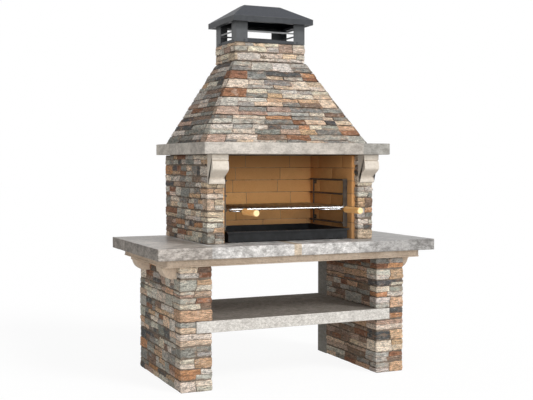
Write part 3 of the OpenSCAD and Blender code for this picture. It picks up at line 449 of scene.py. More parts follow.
class Effects:
    """The shader effects that several finishes share, each built once."""

    def __init__(self) -> None:
        """Builds the groups."""
        self.mineral = self._mineral()
        self.patina = self._patina()

    @staticmethod
    def _start(name: str, **sockets: str) -> tuple[bpy.types.NodeTree, Sketch, bpy.types.Node]:
        """Starts a group with named sockets.

        Args:
            name: Name of the group.
            sockets: Kind of each input by its name, and of each output by its name after "out_".

        Returns:
            The group, a sketch to fill it with and its input node.
        """
        tree = bpy.data.node_groups.new(name, "ShaderNodeTree")
        for socket, kind in sockets.items():
            tree.interface.new_socket(socket.removeprefix("out_"), socket_type="NodeSocket" + kind,
                                      in_out="OUTPUT" if socket.startswith("out_") else "INPUT")
        sketch = Sketch(tree)
        return tree, sketch, sketch.put("NodeGroupInput")

    def _mineral(self) -> bpy.types.NodeTree:
        """Mineral grain: broad clouds, grain and specks of noise, and a height that has pits at the specks.

        Returns:
            The group.
        """
        tree, sketch, given = self._start("mineral grain", Place="Vector", Scale="Float", out_Cloud="Float",
                                          out_Grain="Float", out_Speck="Float", out_Height="Float")
        place = sketch.sized(given, "Scale")
        cloud = sketch.noise(place, 1.0, 4.0, 0.6)
        grain = sketch.noise(place, 5.0, 4.0, 0.65)
        speck = sketch.noise(place, 17.0, 2.0, 0.5)
        pits = sketch.spread(speck, 0.6, 0.68)
        height = sketch.less(sketch.plus(sketch.times(cloud, 0.5), grain), sketch.times(pits, 0.5))
        sketch.put("NodeGroupOutput", Cloud=cloud, Grain=grain, Speck=speck, Height=height)
        return tree

    def _patina(self) -> bpy.types.NodeTree:
        """Patches of another colour on a base, where broad noise passes a threshold and fine noise breaks it.

        Returns:
            The group.
        """
        tree, sketch, given = self._start("patina", Place="Vector", Base="Color", Patch="Color",
                                          Amount="Float", Size="Float", Sharp="Float", out_Color="Color")
        place = sketch.sized(given, "Size")
        broad, fine = sketch.noise(place, 1.0, 3.0, 0.6), sketch.noise(place, 6.0, 3.0, 0.65)
        both = sketch.plus(sketch.times(broad, 0.7), sketch.times(fine, 0.3))
        past = sketch.less(both, sketch.less(1.0, given.outputs["Amount"]))
        over = sketch.math("MULTIPLY", past, given.outputs["Sharp"], clamp=True)
        sketch.put("NodeGroupOutput", Color=sketch.blend(over, given.outputs["Base"], given.outputs["Patch"]))
        return tree


@dataclass(frozen=True)
class Look:
    """What a finish gives its shader.

    The bump is the distance and the strength with which the height is read, and the numbers are those that
    stay the same all over, by the name of their socket.
    """

    colour: Socket
    rough: Socket
    height: Socket
    bump: tuple[float, float]
    numbers: dict[str, float]


class Finish:
    """A material with one principled shader, whose look each kind of finish works out in its own way."""

    name: str

    def look(self, sketch: Sketch, effects: Effects) -> Look:
        """Works out what the shader gets, from the place and the mesh's point values."""
        raise NotImplementedError

    def material(self, effects: Effects) -> Material:
        """Builds the material.

        Args:
            effects: The shared node groups.

        Returns:
            The material.
        """
        material = bpy.data.materials.new(self.name)
        material.use_nodes = True
        sketch = Sketch(material.node_tree)
        shader = material.node_tree.nodes["Principled BSDF"].inputs
        look = self.look(sketch, effects)
        for socket, value in {"Base Color": look.colour, "Roughness": look.rough, **look.numbers}.items():
            sketch.feed(shader[socket], value)
        bump = sketch.put("ShaderNodeBump", Height=look.height, Distance=look.bump[0], Strength=look.bump[1])
        sketch.feed(shader["Normal"], bump.outputs["Normal"])
        return material


@dataclass(frozen=True)
class LedgerStoneFinish(Finish):
    """Split ledger stone: the block's own tone, patches, bedded streaks, painted shade in cracks and pits,
    and dark joints.
    """

    name: str = "ledger stone"
    tan: Colour = paint(212, 160, 120)
    rust: Colour = paint(156, 110, 82)
    bloom: Colour = paint(232, 225, 213)
    # The dark colour of cracks and pits: painted shade.
    painted_shade: Colour = paint(62, 57, 52)
    joint: Colour = paint(50, 43, 37)
    bedding: float = 2.2
    streaking: float = 4.5
    cracking: float = 5.0
    crack_width: float = 0.013
    specular: float = 0.25

    def look(self, sketch: Sketch, effects: Effects) -> Look:
        """Lays the patches, streaks, the painted shade of cracks and pits, and the joints over the tone, one
        after another.

        A crack runs where its noise passes through the middle of its range.

        Args:
            sketch: Adds the nodes.
            effects: The shared node groups.

        Returns:
            What the shader gets.
        """
        tone = sketch.value("tone", "Color")
        seed, joint, edge = (sketch.value(name) for name in ("seed", "joint", "edge"))
        shift = sketch.put("ShaderNodeCombineXYZ", X=sketch.times(seed, 7.0), Y=sketch.times(seed, 3.0),
                           Z=sketch.times(seed, 5.0)).outputs[0]
        own = sketch.put("ShaderNodeVectorMath", {"operation": "ADD"}, (sketch.place(), shift)).outputs[0]
        bedded = sketch.stretched(own, z=self.bedding)
        grain = sketch.group(effects.mineral, Place=bedded, Scale=34.0)
        streak = sketch.noise(sketch.stretched(own, z=self.streaking), 40.0, 5.0, 0.62)
        body = sketch.patched(effects.patina, 0.45, tone, Place=bedded, Patch=self.tan,
                              Amount=sketch.spread(edge, 0.0, 1.0, 0.46, 0.56), Size=22.0, Sharp=4.5)
        for share, patch, amount, size, sharp in ((0.5, self.bloom, 0.47, 38.0, 5.0),
                                                  (0.6, self.rust, 0.33, 16.0, 7.0)):
            body = sketch.patched(effects.patina, share, body, Place=own, Patch=patch, Amount=amount,
                                  Size=size, Sharp=sharp)
        shade = sketch.times(sketch.spread(streak, 0.3, 0.7, 0.62, 1.3),
                             sketch.spread(grain["Cloud"], 0.3, 0.7, 0.92, 1.16))
        shade = sketch.times(shade, sketch.spread(sketch.noise(own, 260.0, 2.0, 0.6), 0.32, 0.68, 0.74, 1.3))
        grey = sketch.put("ShaderNodeCombineColor", Red=shade, Green=shade, Blue=shade).outputs[0]
        body = sketch.blend(1.0, body, grey, "MULTIPLY")
        crack = sketch.noise(sketch.stretched(own, z=self.cracking), 17.0, 3.0, 0.55)
        off = sketch.math("ABSOLUTE", sketch.less(crack, 0.5))
        # Cracks and pits darkened: painted shade; then the dark joints.
        for share, colour in ((sketch.spread(off, 0.0, self.crack_width, 0.82, 0.0), self.painted_shade),
                              (sketch.spread(grain["Grain"], 0.57, 0.68, 0.0, 0.62), self.painted_shade),
                              (sketch.spread(joint, 0.0, 0.8, 0.0, 0.92), self.joint)):
            body = sketch.blend(share, body, colour)
        height = sketch.plus(sketch.plus(grain["Height"], sketch.times(streak, 1.1)),
                             sketch.spread(off, 0.0, 0.02, -0.35, 0.0))
        return Look(body, sketch.spread(grain["Cloud"], 0.3, 0.7, 0.82, 0.96), height, (0.0062, 0.88),
                    {"Specular IOR Level": self.specular})


@dataclass(frozen=True)
class CastStoneFinish(Finish):
    """Cast or moulded stone: two tones in clouds and mottles, pores, stains, zones of another shade, and a
    painted shade on top.
    """

    name: str
    light: Colour
    dark: Colour
    stain: Colour = paint(122, 112, 100)
    stain_amount: float = 0.44
    pore: float = 0.4
    gloss: float = 0.62
    zones: tuple[tuple[float, float, Colour], ...] = ()
    zone_fade: float = 0.004
    # Above this height the faces turn to the top colour: a painted shade.
    painted_shade_from: float = NEVER
    top: Colour = paint(150, 149, 147)
    polished_from: float = NEVER
    specular: float = 0.15
    cloud_size: float = 7.0
    mottle_size: float = 42.0
    mottled: float = 0.4
    contrast: float = 0.1

    def look(self, sketch: Sketch, effects: Effects) -> Look:
        """Mixes the two tones by noise, and lays the zones along X, the painted shade on top, stains and
        pores over them.

        Args:
            sketch: Adds the nodes.
            effects: The shared node groups.

        Returns:
            What the shader gets.
        """
        place = sketch.place()
        grain = sketch.group(effects.mineral, Place=place, Scale=self.cloud_size)
        mottle = sketch.noise(sketch.stretched(place, z=1.7), self.mottle_size, 5.0, 0.75)
        brushed = sketch.noise(sketch.stretched(place, z=3.0), self.mottle_size * 2.4, 3.0, 0.7)
        share = sketch.plus(sketch.times(grain["Cloud"], 0.8 - self.mottled),
                            sketch.plus(sketch.times(mottle, self.mottled), sketch.times(brushed, 0.2)))
        lit = sketch.spread(share, 0.5 - self.contrast, 0.5 + self.contrast)
        body = sketch.blend(lit, self.dark, self.light)
        wavy = sketch.plus(sketch.along(place, "X"), sketch.times(mottle, self.zone_fade))
        for start, stop, shade in self.zones:
            inside = sketch.times(sketch.spread(wavy, start, start + self.zone_fade),
                                  sketch.spread(wavy, stop, stop + self.zone_fade, 1.0, 0.0))
            body = sketch.shaded(inside, body, shade)
        high = sketch.along(place, "Z")
        # Painted shade on the faces above the height.
        body = sketch.shaded(sketch.math("GREATER_THAN", high, self.painted_shade_from), body, self.top)
        body = sketch.patched(effects.patina, 0.4, body, Place=place, Patch=self.stain,
                              Amount=self.stain_amount, Size=self.cloud_size * 2.2, Sharp=5.0)
        body = sketch.blend(sketch.spread(grain["Speck"], 0.58, 0.66, 0.0, self.pore), body, self.stain)
        polished = sketch.math("GREATER_THAN", high, self.polished_from)
        rough = sketch.math("ADD", sketch.times(sketch.less(1.0, polished), 0.4),
                            sketch.spread(share, 0.35, 0.65, self.gloss, self.gloss + 0.18), clamp=True)
        return Look(body, rough, sketch.plus(grain["Height"], mottle), (0.0014, 0.45),
                    {"Specular IOR Level": self.specular})


@dataclass(frozen=True)
class FirebrickFinish(Finish):
    """Firebrick: ochre that differs from brick to brick, iron specks, and painted shade low down below the
    grill and towards the top under the mantel.
    """

    name: str = "firebrick"
    light: Colour = paint(238, 184, 122)
    dark: Colour = paint(218, 160, 102)
    iron: Colour = paint(150, 102, 62)
    # Painted shade towards the top, where the mantel shades the lining.
    painted_shade: Colour = paint(196, 144, 94)
    # Painted shade low down, below the grill.
    painted_low_shade: Colour = paint(158, 124, 92)
    low_shade_over: tuple[float, float] = (0.8, 0.92)
    top_shade_over: tuple[float, float] = (0.95, 1.2)
    specular: float = 0.2

    def look(self, sketch: Sketch, effects: Effects) -> Look:
        """Blends the tones by the brick's seed and noise, and the painted shade low down and at the top by
        the height, made uneven.

        Args:
            sketch: Adds the nodes.
            effects: The shared node groups.

        Returns:
            What the shader gets.
        """
        place = sketch.place()
        grain = sketch.group(effects.mineral, Place=place, Scale=18.0)
        uneven = sketch.plus(sketch.along(place, "Z"), sketch.times(sketch.noise(place, 5.0, 3.0), 0.12))
        body = sketch.blend(sketch.spread(sketch.value("seed"), 0.0, 1.0, 0.3, 0.9), self.dark, self.light)
        for share, colour in ((sketch.spread(grain["Cloud"], 0.35, 0.65, 0.0, 0.35), self.dark),
                              (sketch.spread(grain["Speck"], 0.58, 0.66, 0.0, 0.5), self.iron),
                              # The last two blends are painted shade: low down, and towards the top.
                              (sketch.spread(uneven, *self.low_shade_over, 0.5, 0.0), self.painted_low_shade),
                              (sketch.spread(uneven, *self.top_shade_over, 0.0, 0.6), self.painted_shade)):
            body = sketch.blend(share, body, colour)
        return Look(body, sketch.spread(grain["Cloud"], 0.3, 0.7, 0.8, 0.95), grain["Height"], (0.001, 0.5),
                    {"Specular IOR Level": self.specular})


@dataclass(frozen=True)
class CoatedSteelFinish(Finish):
    """Painted, enamelled or bare steel: a base tone, a faint unevenness, grain and a painted shade on top."""

    name: str
    base: Colour
    second: Colour
    rough: float
    # Above this height the steel turns to the top colour: a painted shade.
    painted_shade_from: float = NEVER
    top: Colour = WHITE
    metallic: float = 0.0
    shine: float = 0.5

    def look(self, sketch: Sketch, effects: Effects) -> Look:
        """Mixes the two tones by clouds of noise, with a painted shade above its height.

        Args:
            sketch: Adds the nodes.
            effects: The shared node groups.

        Returns:
            What the shader gets.
        """
        place = sketch.place()
        grain = sketch.group(effects.mineral, Place=place, Scale=20.0)
        tone = sketch.blend(sketch.spread(grain["Cloud"], 0.35, 0.65), self.base, self.second)
        above = sketch.math("GREATER_THAN", sketch.along(place, "Z"), self.painted_shade_from)
        rough = sketch.spread(grain["Speck"], 0.3, 0.7, self.rough - 0.06, self.rough + 0.08)
        return Look(sketch.blend(above, tone, self.top), rough, grain["Height"], (0.0003, 0.4),
                    {"Metallic": self.metallic, "Specular IOR Level": self.shine})


@dataclass(frozen=True)
class TurnedWoodFinish(Finish):
    """Turned wood: year rings cut along the handle, fine fibres, and paler end grain."""

    name: str = "handle wood"
    light: Colour = paint(255, 210, 144)
    dark: Colour = paint(246, 176, 104)
    end: Colour = paint(255, 226, 172)
    ring_stretch: float = 0.12
    fibre_stretch: float = 0.05
    specular: float = 0.25

    def look(self, sketch: Sketch, effects: Effects) -> Look:
        """Mixes the two tones by bent bands and fine noise, both drawn out along the handle.

        Args:
            sketch: Adds the nodes.
            effects: The shared node groups.

        Returns:
            What the shader gets.
        """
        place = sketch.place()
        rings = sketch.put("ShaderNodeTexWave", {"wave_type": "BANDS", "bands_direction": "X"},
                           Vector=sketch.stretched(place, y=self.ring_stretch), Scale=46.0, Distortion=7.0,
                           Detail=3.0, Detail_Scale=1.2).outputs["Fac"]
        fibre = sketch.noise(sketch.stretched(place, y=self.fibre_stretch), 420.0, 2.0)
        share = sketch.plus(sketch.times(rings, 0.7), sketch.times(fibre, 0.3))
        body = sketch.blend(sketch.value("end"), sketch.blend(share, self.dark, self.light), self.end)
        return Look(body, sketch.spread(fibre, 0.3, 0.7, 0.5, 0.66), fibre, (0.0003, 0.3),
                    {"Specular IOR Level": self.specular})


class PlanPath:
    """A line in plan with right-angled corners that are eased by a small radius."""

    def __init__(self, points: list[tuple[float, float]], radius: float, thickness: float) -> None:
        """Measures the path.

        Args:
            points: Its corner points, with the outer side on the right of the way along it.
            radius: Radius of the eased corners.
            thickness: How far the inner line lies inside.
        """
        self.points = np.array(points, float)
        self.radius = radius
        self.thickness = thickness
        steps = np.diff(self.points, axis=0)
        self.lengths = np.linalg.norm(steps, axis=1)
        self.ways = steps / self.lengths[:, None]
        self.normals = np.stack([self.ways[:, 1], -self.ways[:, 0]], axis=1)
        self.starts = np.concatenate([[0], np.cumsum(self.lengths)])
        self.length = float(self.starts[-1])
        self.corners = self.starts[1:-1]

    def sample(self, along: Array) -> tuple[Array, Array, Array]:
        """The outer point, the outward normal and the inner point at each distance along the path.

        On a straight the outer point lies on the line. Within one radius of a corner it lies on the quarter
        circle that touches both straights, at the share of the quarter that the distance has run through.
        The inner point keeps off the inner corner by squeezing what would pass it.

        Args:
            along: Distances along the path.

        Returns:
            Three arrays of points in plan.
        """
        squeeze, room, last = 0.02, self.thickness, len(self.lengths) - 1
        part = np.clip(np.searchsorted(self.starts, along, side="right") - 1, 0, last)
        local = along - self.starts[part]
        way, normal, length = self.ways[part], self.normals[part], self.lengths[part]
        outer = self.points[part] + way * local[:, None]
        kept = np.where((part > 0) & (local < room), room - squeeze * (room - local), local)
        kept = np.where((part < last) & (length - local < room),
                        length - room + squeeze * (room - length + local), kept)
        inner = self.points[part] + way * kept[:, None] - normal * room
        for corner in range(last):
            before, after = self.normals[corner], self.normals[corner + 1]
            gap = along - self.corners[corner]
            near = np.abs(gap) < self.radius
            angle = (gap[near] / self.radius + 1) * math.pi / 4
            turned = np.cos(angle)[:, None] * before + np.sin(angle)[:, None] * after
            centre = self.points[corner + 1] - self.radius * (before + after)
            outer[near] = centre + self.radius * turned
            normal[near] = turned
        return outer, normal, inner


@dataclass(frozen=True)
class StoneCut:
    """How courses are split into blocks, and how rough their faces are.

    A reach is how far in from a block's side its drop runs, and a drop is how deep it goes there.
    """

    step: float = 0.0044
    bed_reach: float = 0.0105
    bed_drop: float = 0.0056
    strip_reach: float = 0.006
    strip_drop: float = 0.003
    joint_reach: float = 0.0058
    joint_drop: float = 0.0038
    offset: float = 0.0032
    tilt: float = 0.0016
    rough: float = 0.0019
    ledge: float = 0.0009
    ledge_h: float = 0.0085
    wobble: float = 0.0013
    sway: float = 0.002
    sway_fade: float = 0.012
    lean: float = 0.0055
    lean_fade: float = 0.02
    dark_reach: float = 0.0027
    edge_reach: float = 0.018
    block_l: tuple[float, float] = (0.06, 0.135)
    whole_share: float = 0.34
    lines: tuple[float, ...] = (0.0, 0.001, 0.0026, 0.0052)

    def lines_of(self, length: float, joints: list[float]) -> Array:
        """Where the grid's lines run: evenly spaced, and closer together beside borders and joints.

        Args:
            length: Length of the side.
            joints: Places of the joints on it.

        Returns:
            The sorted distances from 0 to length.
        """
        even = np.linspace(0, length, max(2, int(length / self.step)) + 1)
        near = np.array(self.lines)
        marks = np.concatenate([near, length - near, *[np.concatenate([j + near, j - near]) for j in joints]])
        marks = np.unique(np.minimum(np.round(marks[(marks >= 0) & (marks <= length)], 4), length))
        clear = np.abs(even[:, None] - marks[None, :]).min(axis=1) > self.step * 0.45
        return np.sort(np.concatenate([even[clear], marks]))

    def sway_of(self, plan: Array, z: Array, low: float, high: float) -> Array:
        """How far a course's lines rise or dip: noise of the place, faded out at the facing's foot and top.

        Args:
            plan: X plus Y, which runs on round a corner.
            z: Heights.
            low: Height of the facing's foot.
            high: Height of its top.

        Returns:
            The rise at each place.
        """
        fade = np.clip(np.minimum(z - low, high - z) / self.sway_fade, 0, 1)
        return self.sway * fade * layered(plan, z, (1, 0.075, 0.06, 77), (0.5, 0.023, 0.03, 78))

    def lean_of(self, along: Array, z: Array, fixed: Array, seed: int) -> Array:
        """How far upright joints lean aside: noise that turns with the height, faded out beside fixed places.

        Args:
            along: Distances along the course.
            z: Heights in it.
            fixed: The places that stay.
            seed: Seed of the noise.

        Returns:
            The lean at each place.
        """
        fade = np.clip(np.abs(along[..., None] - fixed).min(axis=-1) / self.lean_fade, 0, 1)
        return self.lean * fade * layered(along, z, (1, 0.06, 0.03, seed), (0.4, 0.03, 0.009, seed + 1))


@dataclass
class Block:
    """One block of a course: its place on the face, its tone and seed, and how open its end joints are."""

    low: tuple[float, float]
    high: tuple[float, float]
    tone: Tone
    seed: int
    open_left: float = 1.0
    open_right: float = 1.0


class Palette:
    """Tones with their shares, from which the blocks of a face are drawn."""

    def __init__(self, **shares: float) -> None:
        """Takes the tones' names and their shares."""
        self.shares = {Tone[name]: share for name, share in shares.items()}

    def pick(self, draw: np.random.Generator, *beside: Tone | None) -> Tone:
        """Draws a tone that none of the blocks beside it has.

        Args:
            draw: Source of seeded draws.
            beside: Tones of the blocks beside it.

        Returns:
            The tone.
        """
        names = [name for name in self.shares if name not in beside]
        weights = np.array([self.shares[name] for name in names])
        return names[int(draw.choice(len(names), p=weights / weights.sum()))]


FRONT_TONES = Palette(PALE_GREY=0.19, SILVER=0.14, GREY=0.11, CHARCOAL=0.08, CREAM=0.17, SAND=0.1, TAN=0.08,
                      ORANGE=0.05, RUST=0.04, BROWN=0.03, PINK=0.03)
# Greyer tones for the outer sides, taken from the shaded left faces: partly painted shade.
SIDE_TONES = Palette(PALE_GREY=0.19, SILVER=0.22, GREY=0.19, CHARCOAL=0.09, CREAM=0.09, SAND=0.04, TAN=0.05,
                     ORANGE=0.03, RUST=0.05, BROWN=0.05, PINK=0.04)
NECK_TONES = Palette(CREAM=0.4, PALE_GREY=0.3, SAND=0.18, PINK=0.06, SILVER=0.06)
# Darker, warmer tones for the legs' inner faces, which lie in shade under the worktop: partly painted shade.
WARM_TONES = Palette(SAND=0.08, PALE_GREY=0.06, SILVER=0.14, PINK=0.2, TAN=0.1, BROWN=0.22, GREY=0.1,
                     RUST=0.07, ORANGE=0.03)
HOOD_TONES = Palette(PALE_GREY=0.15, SILVER=0.15, GREY=0.16, CHARCOAL=0.06, CREAM=0.19, SAND=0.11, PINK=0.08,
                     TAN=0.05, ORANGE=0.03, RUST=0.01, BROWN=0.02)
# Darker tones for the hood's sides, taken from the shaded left side: partly painted shade.
HOOD_SIDE_TONES = Palette(PALE_GREY=0.07, SILVER=0.2, GREY=0.25, CHARCOAL=0.16, TAN=0.06, RUST=0.09,
                          BROWN=0.12, PINK=0.05)


@dataclass(frozen=True)
class CornerStone:
    """The end of a course that turns a corner: the tones of its strips and how long it lies on this face."""

    tones: tuple[Tone, ...]
    length: float


def new_seed(draw: np.random.Generator) -> int:
    """Draws a block's seed."""
    return int(draw.integers(1, 99999))


def split_run(cut: StoneCut, length: float, height: float, palette: Palette, draw: np.random.Generator,
              start: CornerStone | None = None, end: CornerStone | None = None,
              ends: tuple[float, float] = (1.0, 1.0), middle_share: float | None = None) -> list[Block]:
    """Splits a course into whole blocks and stretches of two strips, each strip cut at places of its own.

    Args:
        cut: The way courses are split.
        length: Length of the course.
        height: Its height.
        palette: The tones to draw from.
        draw: Source of seeded draws.
        start: The corner stone at the start, if it is given.
        end: The corner stone at the end.
        ends: How open the course's first and last joint are.
        middle_share: Where the strips meet, as a share of the height, if it isn't drawn.

    Returns:
        The blocks of the course.
    """
    middle = height * (middle_share or draw.uniform(0.38, 0.62))
    strips = [(0.0, middle), (middle, height)]
    blocks: list[Block] = []

    def lay(low: float, high: float, row: tuple[float, float], tone: Tone) -> None:
        """Adds a block and sets how open the joint before it is, which it shares with its neighbours.

        Args:
            low: Where it starts along the course.
            high: Where it ends.
            row: The heights between which it lies.
            tone: Its tone.
        """
        openness = 0.12 if draw.uniform() < 0.3 else draw.uniform(0.5, 1.2)
        if low <= 0:
            openness = ends[0]
        for other in blocks:
            if abs(other.high[0] - low) < CLOSE and other.low[1] < row[1] and other.high[1] > row[0]:
                other.open_right = openness
        closing = ends[1] if high >= length - CLOSE else 1.0
        blocks.append(Block((low, row[0]), (high, row[1]), tone, new_seed(draw), openness, closing))

    def corner(stone: CornerStone, low: float, high: float) -> None:
        """Adds a corner stone's blocks."""
        for row, tone in zip(strips if len(stone.tones) > 1 else [(0.0, height)], stone.tones):
            lay(low, high, row, tone)

    reach = 0.0
    if start:
        corner(start, 0.0, start.length)
        reach = start.length
    finish = length - end.length if end else length
    last: Tone | None = None
    while reach < finish - CLOSE:
        whole = draw.uniform() < cut.whole_share
        want = draw.uniform(*cut.block_l) * (1.0 if whole else 2.4)
        stop = finish if finish - reach - want < cut.block_l[0] * 0.8 else reach + want
        under: Tone | None = None
        for row in [(0.0, height)] if whole else strips:
            marks = np.array([reach, stop])
            if not whole:
                pieces = max(1, round((stop - reach) / draw.uniform(*cut.block_l)))
                marks = np.linspace(reach, stop, pieces + 1)
                marks[1:-1] += draw.uniform(-0.28, 0.28, pieces - 1) * (stop - reach) / pieces
            for low, high in zip(marks[:-1], marks[1:]):
                last = palette.pick(draw, last, under)
                lay(float(low), float(high), row, last)
            under = last
        reach = stop
    if end:
        corner(end, finish, length)
    return blocks


def block_surface(cut: StoneCut, along: Array, up: Array, blocks: list[Block]) -> dict[str, Array]:
    """Depth and values of a course's face on a grid.

    A block's depth is its own offset, plus a slight tilt, bedded noise in three sizes and a stepped ledge,
    less a drop that grows with a power of the closeness to its nearest side. Beds between courses drop most.

    Args:
        cut: The way courses are split.
        along: Distances along the face.
        up: Heights on the face.
        blocks: The blocks of the face.

    Returns:
        Arrays named depth, tone, seed, joint and edge, rows along and columns up.
    """
    a, z = np.meshgrid(along, up, indexing="ij")
    found = {name: np.zeros_like(a) for name in ("depth", "seed", "joint", "edge")}
    tone = np.zeros((*a.shape, 4))
    bed, strip = (cut.bed_reach, cut.bed_drop, 1.0), (cut.strip_reach, cut.strip_drop, 0.6)
    for block in blocks:
        (left, low), (right, high), seed = block.low, block.high, block.seed
        mine = (a >= left) & (a <= right) & (z >= low) & (z <= high)
        x, y = a[mine], z[mine]
        sides = [(x - left, cut.joint_reach, cut.joint_drop * block.open_left, block.open_left),
                 (right - x, cut.joint_reach, cut.joint_drop * block.open_right, block.open_right),
                 (y - low, *(bed if low <= 0 else strip)), (high - y, *(bed if high >= up[-1] else strip))]
        wobble = cut.wobble * layered(x, y, (1, 0.014, 0.011, seed + 5), (0.7, 0.0055, 0.0055, seed + 8))
        patchy = 0.72 + 0.5 * smooth_noise(x / 0.028, y / 0.02, seed + 6)
        ragged = 1 + 0.4 * smooth_noise(x / 0.011, y / 0.008, seed + 7)
        drop, dark, edge = np.zeros((3, len(x)))
        for distance, reach, deep, weight in sides:
            wavy = distance + wobble * (distance > 0.0007)
            drop = np.maximum(drop, deep * (1 - np.clip(wavy / (reach * ragged), 0, 1)) ** 2.1)
            dark = np.maximum(dark, weight * (1 - np.clip(wavy / cut.dark_reach, 0, 1)) ** 1.5)
            edge = np.maximum(edge, 1 - np.clip(wavy / cut.edge_reach, 0, 1))
        own = np.random.default_rng(seed)
        lean = own.uniform(-1, 1, 2)
        tilt = cut.tilt * (lean[0] * (x - (left + right) / 2) / (right - left)
                           + lean[1] * (y - (low + high) / 2) / (high - low)) * 2
        layer = np.floor((y + 0.003 * smooth_noise(x / 0.03, y / 0.02, seed)) / cut.ledge_h)
        ledge = cut.ledge * (2 * hashed(layer, np.floor(x / 0.045), seed + 3) - 1)
        rough = cut.rough * layered(x, y, (1, 0.034, 0.013, seed + 1), (0.6, 0.013, 0.0065, seed + 2),
                                    (0.35, 0.0062, 0.0046, seed + 4))
        broken = (ledge + rough) * (1 - 0.5 * edge)
        found["depth"][mine] = -cut.offset * own.uniform(0, 1) + tilt + broken - drop
        found["seed"][mine] = own.uniform(0, 1)
        found["joint"][mine] = np.clip(dark * patchy, 0, 1)
        found["edge"][mine] = edge
        tinted = np.array(block.tone.colour)
        tinted[:3] *= own.uniform(0.86, 1.12) * (1 + own.uniform(-0.03, 0.03, 3))
        tone[mine] = tinted
    return {**found, "tone": np.clip(tone, 0, 1)}


def course_grid(cut: StoneCut, blocks: list[Block], length: float, height: float, turns: list[float],
                seed: int) -> tuple[Array, Array, Array, dict[str, Array]]:
    """The grid of a course's face, with lines at its joints, which lean.

    Args:
        cut: The way courses are split.
        blocks: The blocks of the course.
        length: Its length.
        height: Its height.
        turns: Where it turns a corner.
        seed: Seed of the joints' lean.

    Returns:
        Distances along the course, the leaning distance and the height of each point, and the face's values.
    """
    joints, beds = (sorted({b.low[k] for b in blocks if b.low[k] > 0}) for k in (0, 1))
    along, up = cut.lines_of(length, joints + turns), cut.lines_of(height, beds)
    a, z = np.meshgrid(along, up, indexing="ij")
    leaning = np.clip(a + cut.lean_of(a, z, np.array([0.0, length, *turns]), seed), 0, length)
    return along, leaning, z, block_surface(cut, along, up, blocks)


def add_course(form: Form, face: Array, back_low: Array, back_high: Array, surface: dict[str, Array]) -> None:
    """Closes a course from its face and its back edges, and adds it to a form.

    Args:
        form: The form that gathers the courses.
        face: Points of the face, rows along and columns up.
        back_low: The back edge at the bottom, one point per row.
        back_high: The back edge at the top.
        surface: The face's point values.
    """
    points = np.concatenate([back_low[:, None], face, back_high[:, None]], axis=1)
    values = {name: np.concatenate([value[:, :1], value, value[:, -1:]], axis=1)
              for name, value in surface.items() if name != "depth"}
    form.grid(points, flat_columns=(0, -1, -2), **values)


def add_bedding(form: Form, path: PlanPath, low: float, high: float) -> None:
    """Adds the mortar that lies back in the beds round a course: its path, sunk, and closed at the back.

    Args:
        form: The form that gathers the mortar.
        path: The line of the course's face.
        low: Height where it starts.
        high: Height where it ends.
    """
    clear, sunk = 0.004, 0.0052
    along = np.unique(np.concatenate([np.linspace(clear, path.length - clear, 12), path.corners,
                                      path.corners - path.radius, path.corners + path.radius]))
    outer, normal, inner = path.sample(along)
    set_back = outer - sunk * normal
    plan = np.stack([inner, set_back, set_back, inner], axis=1)
    height = np.broadcast_to(np.array([low, low, high, high])[None, :, None], (*plan.shape[:2], 1))
    form.grid(np.concatenate([plan, height], axis=2), flat_columns=(0, 1, 2, 3))


def settle_stones(node: str, courses: Form, bedding: Form, stone: Material, mortar: Material) -> None:
    """Makes the pieces of a facing.

    Args:
        node: The node that the stones replace.
        courses: Their form.
        bedding: The mortar's form.
        stone: The stones' finish.
        mortar: The mortar's finish.
    """
    courses.settle(node.replace("stones", "ledger"), stone, "ledger_stone", MASONRY, node)
    bedding.settle(node.replace("stones", "mortar"), mortar, "ledger_stone", MASONRY)


